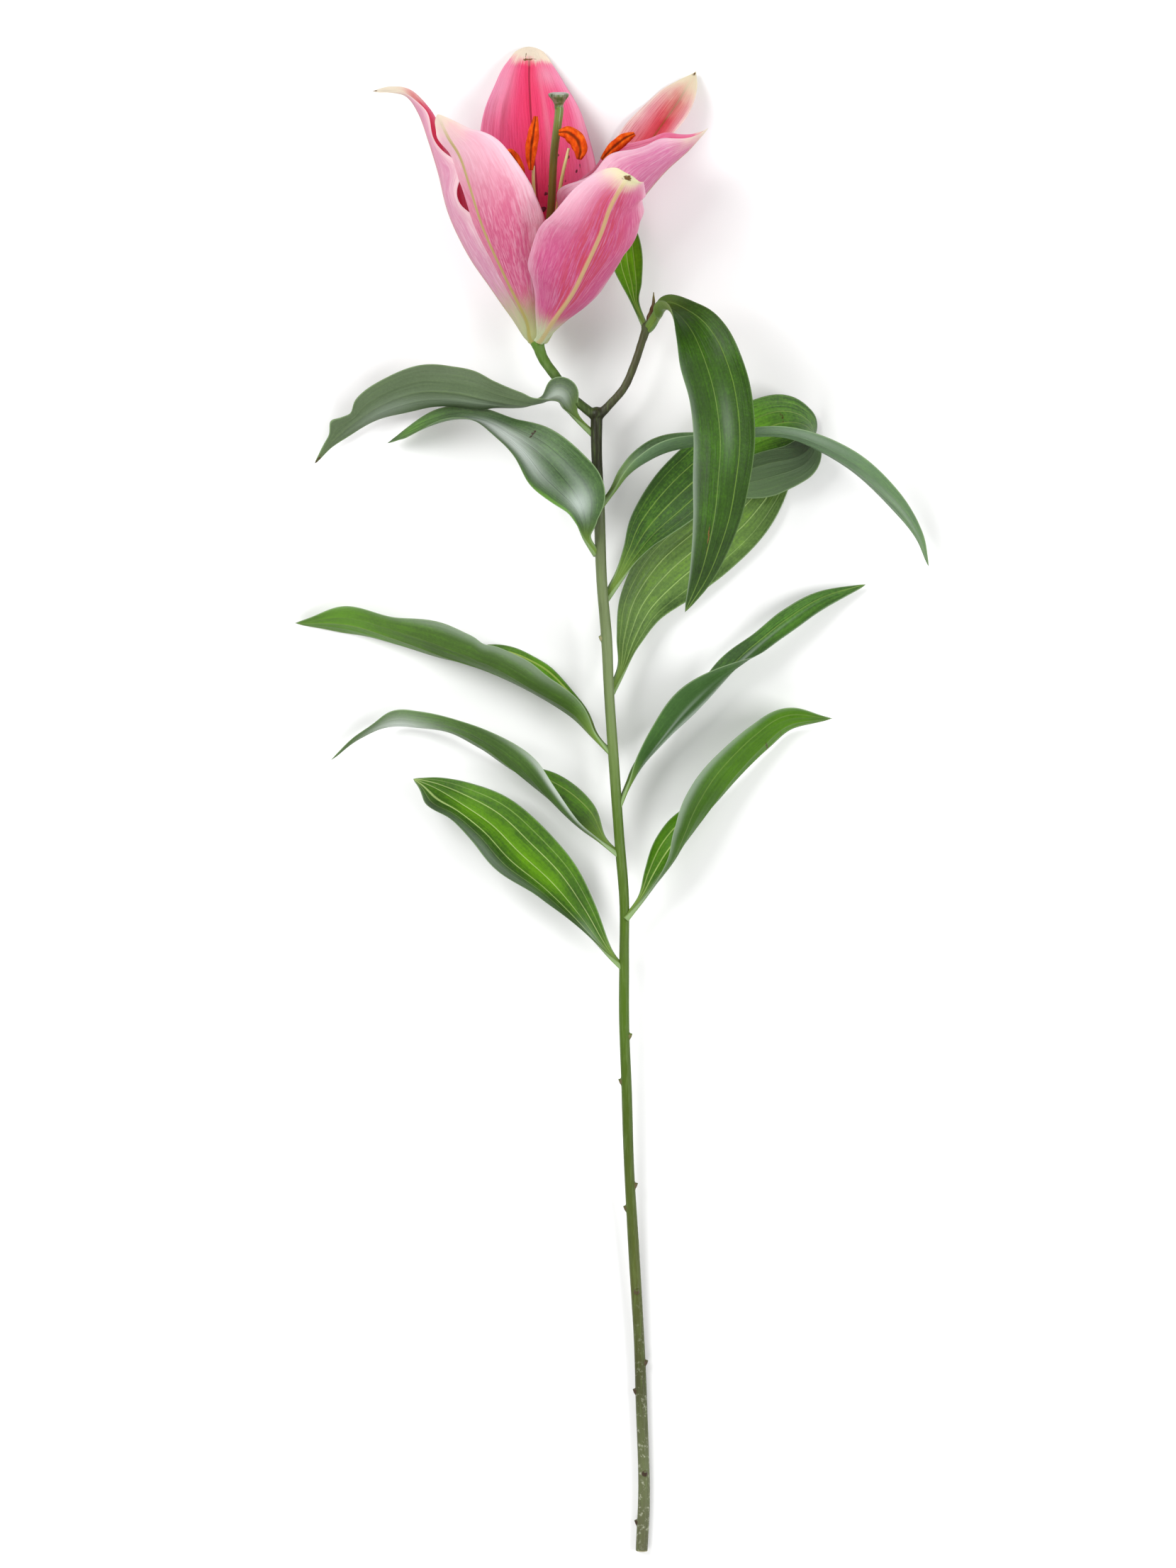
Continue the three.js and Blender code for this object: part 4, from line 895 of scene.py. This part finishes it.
# Stem: the rods of the main stem, the flower's stalk and the side branch, their knuckles and the leaf scars
# are joined by a voxel remesh, so that the forks flow into one another. Rows: x, y, z, radius. Scars: share
# along the main stem, and degrees about it. Each scar is a pad, sunk a little, with a nub on it.
stem = {
    "main": [
        [12, -302, 2.4, 2.4], [13, -277, 2.5, 2.4], [12, -244, 3, 2.3], [11, -217, 4, 2.2],
        [9, -183, 5.5, 2.2], [7, -148, 8, 2.1], [6, -117, 10, 2.1], [5, -89, 12, 2.1], [5, -63, 13.5, 2],
        [5, -40, 15, 2], [3, -15, 16.5, 2.1], [1, 13, 17.5, 2.1], [-1, 42, 18.5, 2.1], [-2, 64, 19, 2.2],
        [-4, 88, 19.5, 2.2], [-5, 118, 20, 2.2], [-6, 138, 20, 2.2], [-6, 154, 20, 2.4],
    ],
    "stalk": [
        [-6, 152, 20, 2.1], [-11, 156, 20.5, 1.9], [-17, 161, 21, 1.9], [-22, 168, 20.5, 2],
        [-27, 175, 19.5, 2.1], [-29, 180, 19.5, 2.4], [-29.8, 183, 20, 3.4],
    ],
    "branch": [
        [-6, 152, 20, 2.1], [-1, 157, 20.5, 1.7], [5, 164, 20.5, 1.6], [9, 173, 20, 1.6],
        [12, 182, 19.5, 1.6], [14, 188, 19, 1.9],
    ],
    "scars": [
        [0.028, 180], [0.071, 80], [0.131, 170], [0.157, 10], [0.211, 85], [0.267, 180], [0.282, 0],
        [0.361, 180], [0.399, 10], [0.765, 180],
    ],
    "knuckles": [[-6, 153.5, 20, 2.9], [14, 188, 19, 2.3]],
    "steps": {"main": 420, "stalk": 60, "branch": 60}, "sides": 28, "voxel": 0.34,
    "lobe": lambda u, a: 0.025 * np.cos(5 * a + 4 * u) + 0.02 * np.sin(60 * u + 2 * a),
    "scarSink": 0.1, "scarReach": 1.5, "padRadii": (1.0, 1.25, 0.9), "padLobe": 0.12,
    "nubOut": 0.75, "nubUp": (0, 0.7, 0), "nubRadii": (0.55, 0.5, 0.75), "nubLobe": 0.2,
    "forkReach": 6, "cutFrom": 0.5, "cutTo": 0.2,
    "look": {
        "drawn": 0.1, "fibreMm": 1.1, "patchMm": 4.5, "scuffMm": 2.1, "light": "#71894a", "dark": "#2f3320",
        "scuff": "#a3a690", "cut": "#8f8a66",
        "main": [(0.0, "#52533a"), (0.07, "#5b6240"), (0.15, "#3f4222"), (0.24, "#4b5420"), (0.36, "#3e510b"),
                 (0.47, "#45610f"), (0.57, "#476114"), (0.65, "#4e6824"), (0.7, "#647940"), (0.79, "#6c7b52"),
                 (0.85, "#66744b"), (0.91, "#4e563a"), (0.94, "#2d301b"), (1.0, "#22220f")],
        "branch": [(0.0, "#2c2d1e"), (0.3, "#43422c"), (0.8, "#4e4e34"), (1.0, "#4a5230")],
        "stalk": [(0.0, "#34401f"), (0.45, "#3f5820"), (1.0, "#587c2c")],
        "scar": [(0.1, "#3a2a1c"), (0.4, "#5f5334"), (0.55, "#6f7a3f"), (1.0, "#a39a7c")],
    },
}


# A closed ball: centre + radii * (cos a cos b, sin a cos b, sin b)
def ball(centre, radii, lobe=0.0, around=20, rings=11):
    a = np.linspace(0, 2 * np.pi, around, endpoint=False)[None]
    b = np.linspace(-np.pi / 2, np.pi / 2, rings + 2)[1:-1, None]
    swell = 1 + lobe * np.sin(3 * a + 2 * b)
    shell = np.stack([np.cos(a) * np.cos(b) * swell, np.sin(a) * np.cos(b) * swell, np.sin(b) + 0 * a], -1)
    points = np.vstack([shell.reshape(-1, 3), [[0, 0, -1], [0, 0, 1]]]) * radii + centre
    index = np.arange(rings * around).reshape(rings, around)
    following = np.roll(index, -1, axis=1)
    quads = np.stack([index[:-1], following[:-1], following[1:], index[1:]], -1).reshape(-1, 4)
    foot, head = rings * around, rings * around + 1
    bottom = np.stack([np.full(around, foot), following[0], index[0]], -1)
    top = np.stack([np.full(around, head), index[-1], following[-1]], -1)
    return points, quads.tolist() + bottom.tolist() + top.tolist()


shells = []
for key, steps in stem["steps"].items():
    points = rodPoints(stem[key], steps, stem["sides"], stem["lobe"])[0]
    shells.append((points, rodFaces(steps, stem["sides"])))
for *centre, radius in stem["knuckles"]:
    shells.append(ball(np.array(centre), radius))
fineSteps = 2000
share = np.linspace(0, 1, fineSteps + 1)
axis = smoothRows(stem["main"], share)
axisUp, axisSide = framesAlong(axis[:, :3], share)[1:]
scarPicks = np.rint(np.array(stem["scars"])[:, 0] * fineSteps).astype(int)
scarTurns = np.radians(np.array(stem["scars"])[:, 1:2])
scarWays = axisSide[scarPicks] * np.cos(scarTurns) + axisUp[scarPicks] * np.sin(scarTurns)
scarPlaces = axis[scarPicks, :3] + scarWays * (axis[scarPicks, 3:4] - stem["scarSink"])
for scarPlace, way in zip(scarPlaces, scarWays):
    shells.append(ball(scarPlace, np.array(stem["padRadii"]), stem["padLobe"]))
    shells.append(ball(scarPlace + way * stem["nubOut"] + stem["nubUp"], np.array(stem["nubRadii"]),
                       stem["nubLobe"]))
starts = np.cumsum([0] + [len(points) for points, _ in shells])
allFaces = [[corner + int(start) for corner in face]
            for start, (_, faces) in zip(starts, shells) for face in faces]
stemRods = bpy.data.meshes.new("stemRods")
stemRods.from_pydata((np.vstack([points for points, _ in shells]) * millimetre).tolist(), [], allFaces)
holder = bpy.data.objects.new("stemRods", stemRods)
bpy.context.scene.collection.objects.link(holder)
join = holder.modifiers.new("join", "REMESH")
join.mode = "VOXEL"
join.voxel_size = stem["voxel"] * millimetre
soften = holder.modifiers.new("soften", "SMOOTH")
soften.factor = 0.5
soften.iterations = 4
skin = bpy.data.meshes.new_from_object(holder.evaluated_get(bpy.context.evaluated_depsgraph_get()))
bpy.data.objects.remove(holder)


# Fresh lily stem: smooth green bark with a dull wax, ribbed and streaked lengthways by its fibres. It turns
# olive and violet brown where it is old: at the fork, on the side branch and, scuffed pale, near the cut.
def barkMaterial(look):
    made, add = startMaterial("lilyBark")
    place = add("TexCoord", output="Object")
    height, scar, branch, stalk, cut = [
        add("Attribute", output="Fac", attribute_name=key)
        for key in ("height", "scar", "branch", "stalk", "cut")]
    drawn = add("Mapping", {"Vector": place, "Scale": (1.0, look["drawn"], 1.0)})
    fibre, patch, scuff = [
        add("TexNoise", {"Vector": where, "Scale": 1000 / size, "Detail": 4.0, "Roughness": rough})
        for where, size, rough in ((drawn, look["fibreMm"], 0.6), (drawn, look["patchMm"], 0.65),
                                   (place, look["scuffMm"], 0.75))]
    patchOff = add("Math", {0: patch, 1: 0.5}, operation="SUBTRACT")
    wavy = add("Math", {0: patchOff, 1: 0.1, 2: height}, operation="MULTIPLY_ADD")
    shown, branchColour, stalkColour, scarColour = [
        add("ValToRGB", {0: source}, stops=look[key])
        for key, source in (("main", wavy), ("branch", branch), ("stalk", stalk), ("scar", height))]
    isBranch, isStalk, isLight, isDark, isLow, isScuff = [
        add("MapRange", {"Value": source, "From Min": start, "From Max": end, "To Max": most})
        for source, start, end, most in (
            (branch, 0.0, 0.03, 1.0), (stalk, 0.0, 0.03, 1.0), (fibre, 0.5, 0.7, 0.25),
            (patch, 0.54, 0.7, 0.3), (height, 0.24, 0.1, 0.75), (scuff, 0.56, 0.66, 1.0))]
    worn = add("Math", {0: isScuff, 1: isLow}, operation="MULTIPLY")
    scarAt = add("Math", {0: scuff, 1: 0.6, 2: scar}, operation="MULTIPLY_ADD")
    isScar = add("MapRange", {"Value": scarAt, "From Min": 0.7, "From Max": 0.95},
                 interpolation_type="SMOOTHSTEP")
    for amount, over in (
            (isBranch, branchColour), (isStalk, stalkColour), (isLight, colour(look["light"])),
            (isDark, colour(look["dark"])), (worn, colour(look["scuff"])), (isScar, scarColour),
            (cut, colour(look["cut"]))):
        shown = add("Mix", {0: amount, 6: shown, 7: over}, 2, data_type="RGBA")
    relief = add("Math", {0: scuff, 1: 0.6, 2: fibre}, operation="MULTIPLY_ADD")
    bump = add("Bump", {"Height": relief, "Strength": 0.6, "Distance": 0.35 * millimetre})
    roughness = add("MapRange", {"Value": fibre, "From Min": 0.3, "From Max": 0.7, "To Min": 0.36,
                                 "To Max": 0.54})
    surface = add("BsdfPrincipled", {"Base Color": shown, "Roughness": roughness, "IOR": 1.48, "Normal": bump,
                                     "Specular IOR Level": 0.25})
    add("OutputMaterial", {"Surface": surface})
    return made


# How far along a curve the nearest point of it is (0 to 1), and how far off it lies.
def nearest(rows, where, samples=160):
    line = smoothRows(rows, np.linspace(0, 1, samples + 1))[:, :3]
    gaps = np.linalg.norm(where[:, None, :] - line[None], axis=-1)
    return gaps.argmin(1) / samples, gaps.min(1)


where = np.empty(len(skin.vertices) * 3)
skin.vertices.foreach_get("co", where)
where = where.reshape(-1, 3) / millimetre
lowest, highest = stem["main"][0][1], stem["main"][-1][1]
nearFork = where[:, 1] > highest - stem["forkReach"]
branchShare, branchGap = nearest(stem["branch"], where[nearFork])
stalkShare, stalkGap = nearest(stem["stalk"], where[nearFork])
scarGap = np.linalg.norm(where[:, None] - scarPlaces[None], axis=-1).min(1)
fields = {
    "height": (where[:, 1] - lowest) / (highest - lowest), "branch": np.zeros(len(where)),
    "stalk": np.zeros(len(where)), "scar": np.exp(-(scarGap / stem["scarReach"]) ** 2),
    "cut": smoothStep(lowest + stem["cutFrom"], lowest + stem["cutTo"], where[:, 1]),
}
onBranch = branchGap < stalkGap
fields["branch"][nearFork] = np.where(onBranch, branchShare * smoothStep(0.02, 0.2, branchShare), 0)
fields["stalk"][nearFork] = np.where(onBranch, 0, stalkShare * smoothStep(0.02, 0.2, stalkShare))
for key, values in fields.items():
    skin.attributes.new(key, "FLOAT", "POINT").data.foreach_set("value", values.astype(np.float32))
skin.polygons.foreach_set("use_smooth", np.ones(len(skin.polygons), bool))
skin.materials.clear()
skin.materials.append(barkMaterial(stem["look"]))
skin.name = "stemSkin"
tie(bpy.data.objects.new("stemSkin", skin), "stem")
print("stem:", len(skin.polygons), "faces")

# A white table and soft light from three large boxes and a pale sky; places and sizes in mm, power in
# watts.
studio = {
    "camera": (-9.46, 5.93, 2600), "lens": 148.6, "sky": 0.4, "table": "#f4f4f4", "tableReach": 6000,
    "lights": {
        "keyLight": {"place": (-1000, 700, 1300), "size": 1000, "power": 24.0},
        "sideLight": {"place": (1200, -100, 1100), "size": 900, "power": 17.0},
        "lowLight": {"place": (-500, -1100, 1200), "size": 900, "power": 9.0},
    },
}
reach = studio["tableReach"] * millimetre
tableMesh = bpy.data.meshes.new("table")
tableMesh.from_pydata([(-reach, -reach, 0), (reach, -reach, 0), (reach, reach, 0), (-reach, reach, 0)], [],
                      [(0, 1, 2, 3)])
table = bpy.data.objects.new("table", tableMesh)
bpy.context.scene.collection.objects.link(table)
matt, add = startMaterial("mattWhiteTable")
paint = add("BsdfPrincipled", {"Base Color": colour(studio["table"]), "Roughness": 0.8})
add("OutputMaterial", {"Surface": paint})
tableMesh.materials.append(matt)

world = bpy.data.worlds.new("softSky")
world.use_nodes = True
world.node_tree.nodes["Background"].inputs["Color"].default_value = (1, 1, 1, 1)
world.node_tree.nodes["Background"].inputs["Strength"].default_value = studio["sky"]
bpy.context.scene.world = world
for key, light in studio["lights"].items():
    lamp = bpy.data.lights.new(key, "AREA")
    lamp.size = light["size"] * millimetre
    lamp.energy = light["power"]
    fixture = bpy.data.objects.new(key, lamp)
    fixture.location = [value * millimetre for value in light["place"]]
    fixture.rotation_euler = (-fixture.location).to_track_quat("-Z", "Y").to_euler()
    bpy.context.scene.collection.objects.link(fixture)

camera = bpy.data.cameras.new("camera")
camera.lens = studio["lens"]
camera.sensor_width = 36.0
camera.clip_start, camera.clip_end = 0.1, 20.0
viewpoint = bpy.data.objects.new("camera", camera)
viewpoint.location = [value * millimetre for value in studio["camera"]]
bpy.context.scene.collection.objects.link(viewpoint)
bpy.context.scene.camera = viewpoint
bpy.context.scene.view_settings.view_transform = "Standard"
print("table, lights and camera")
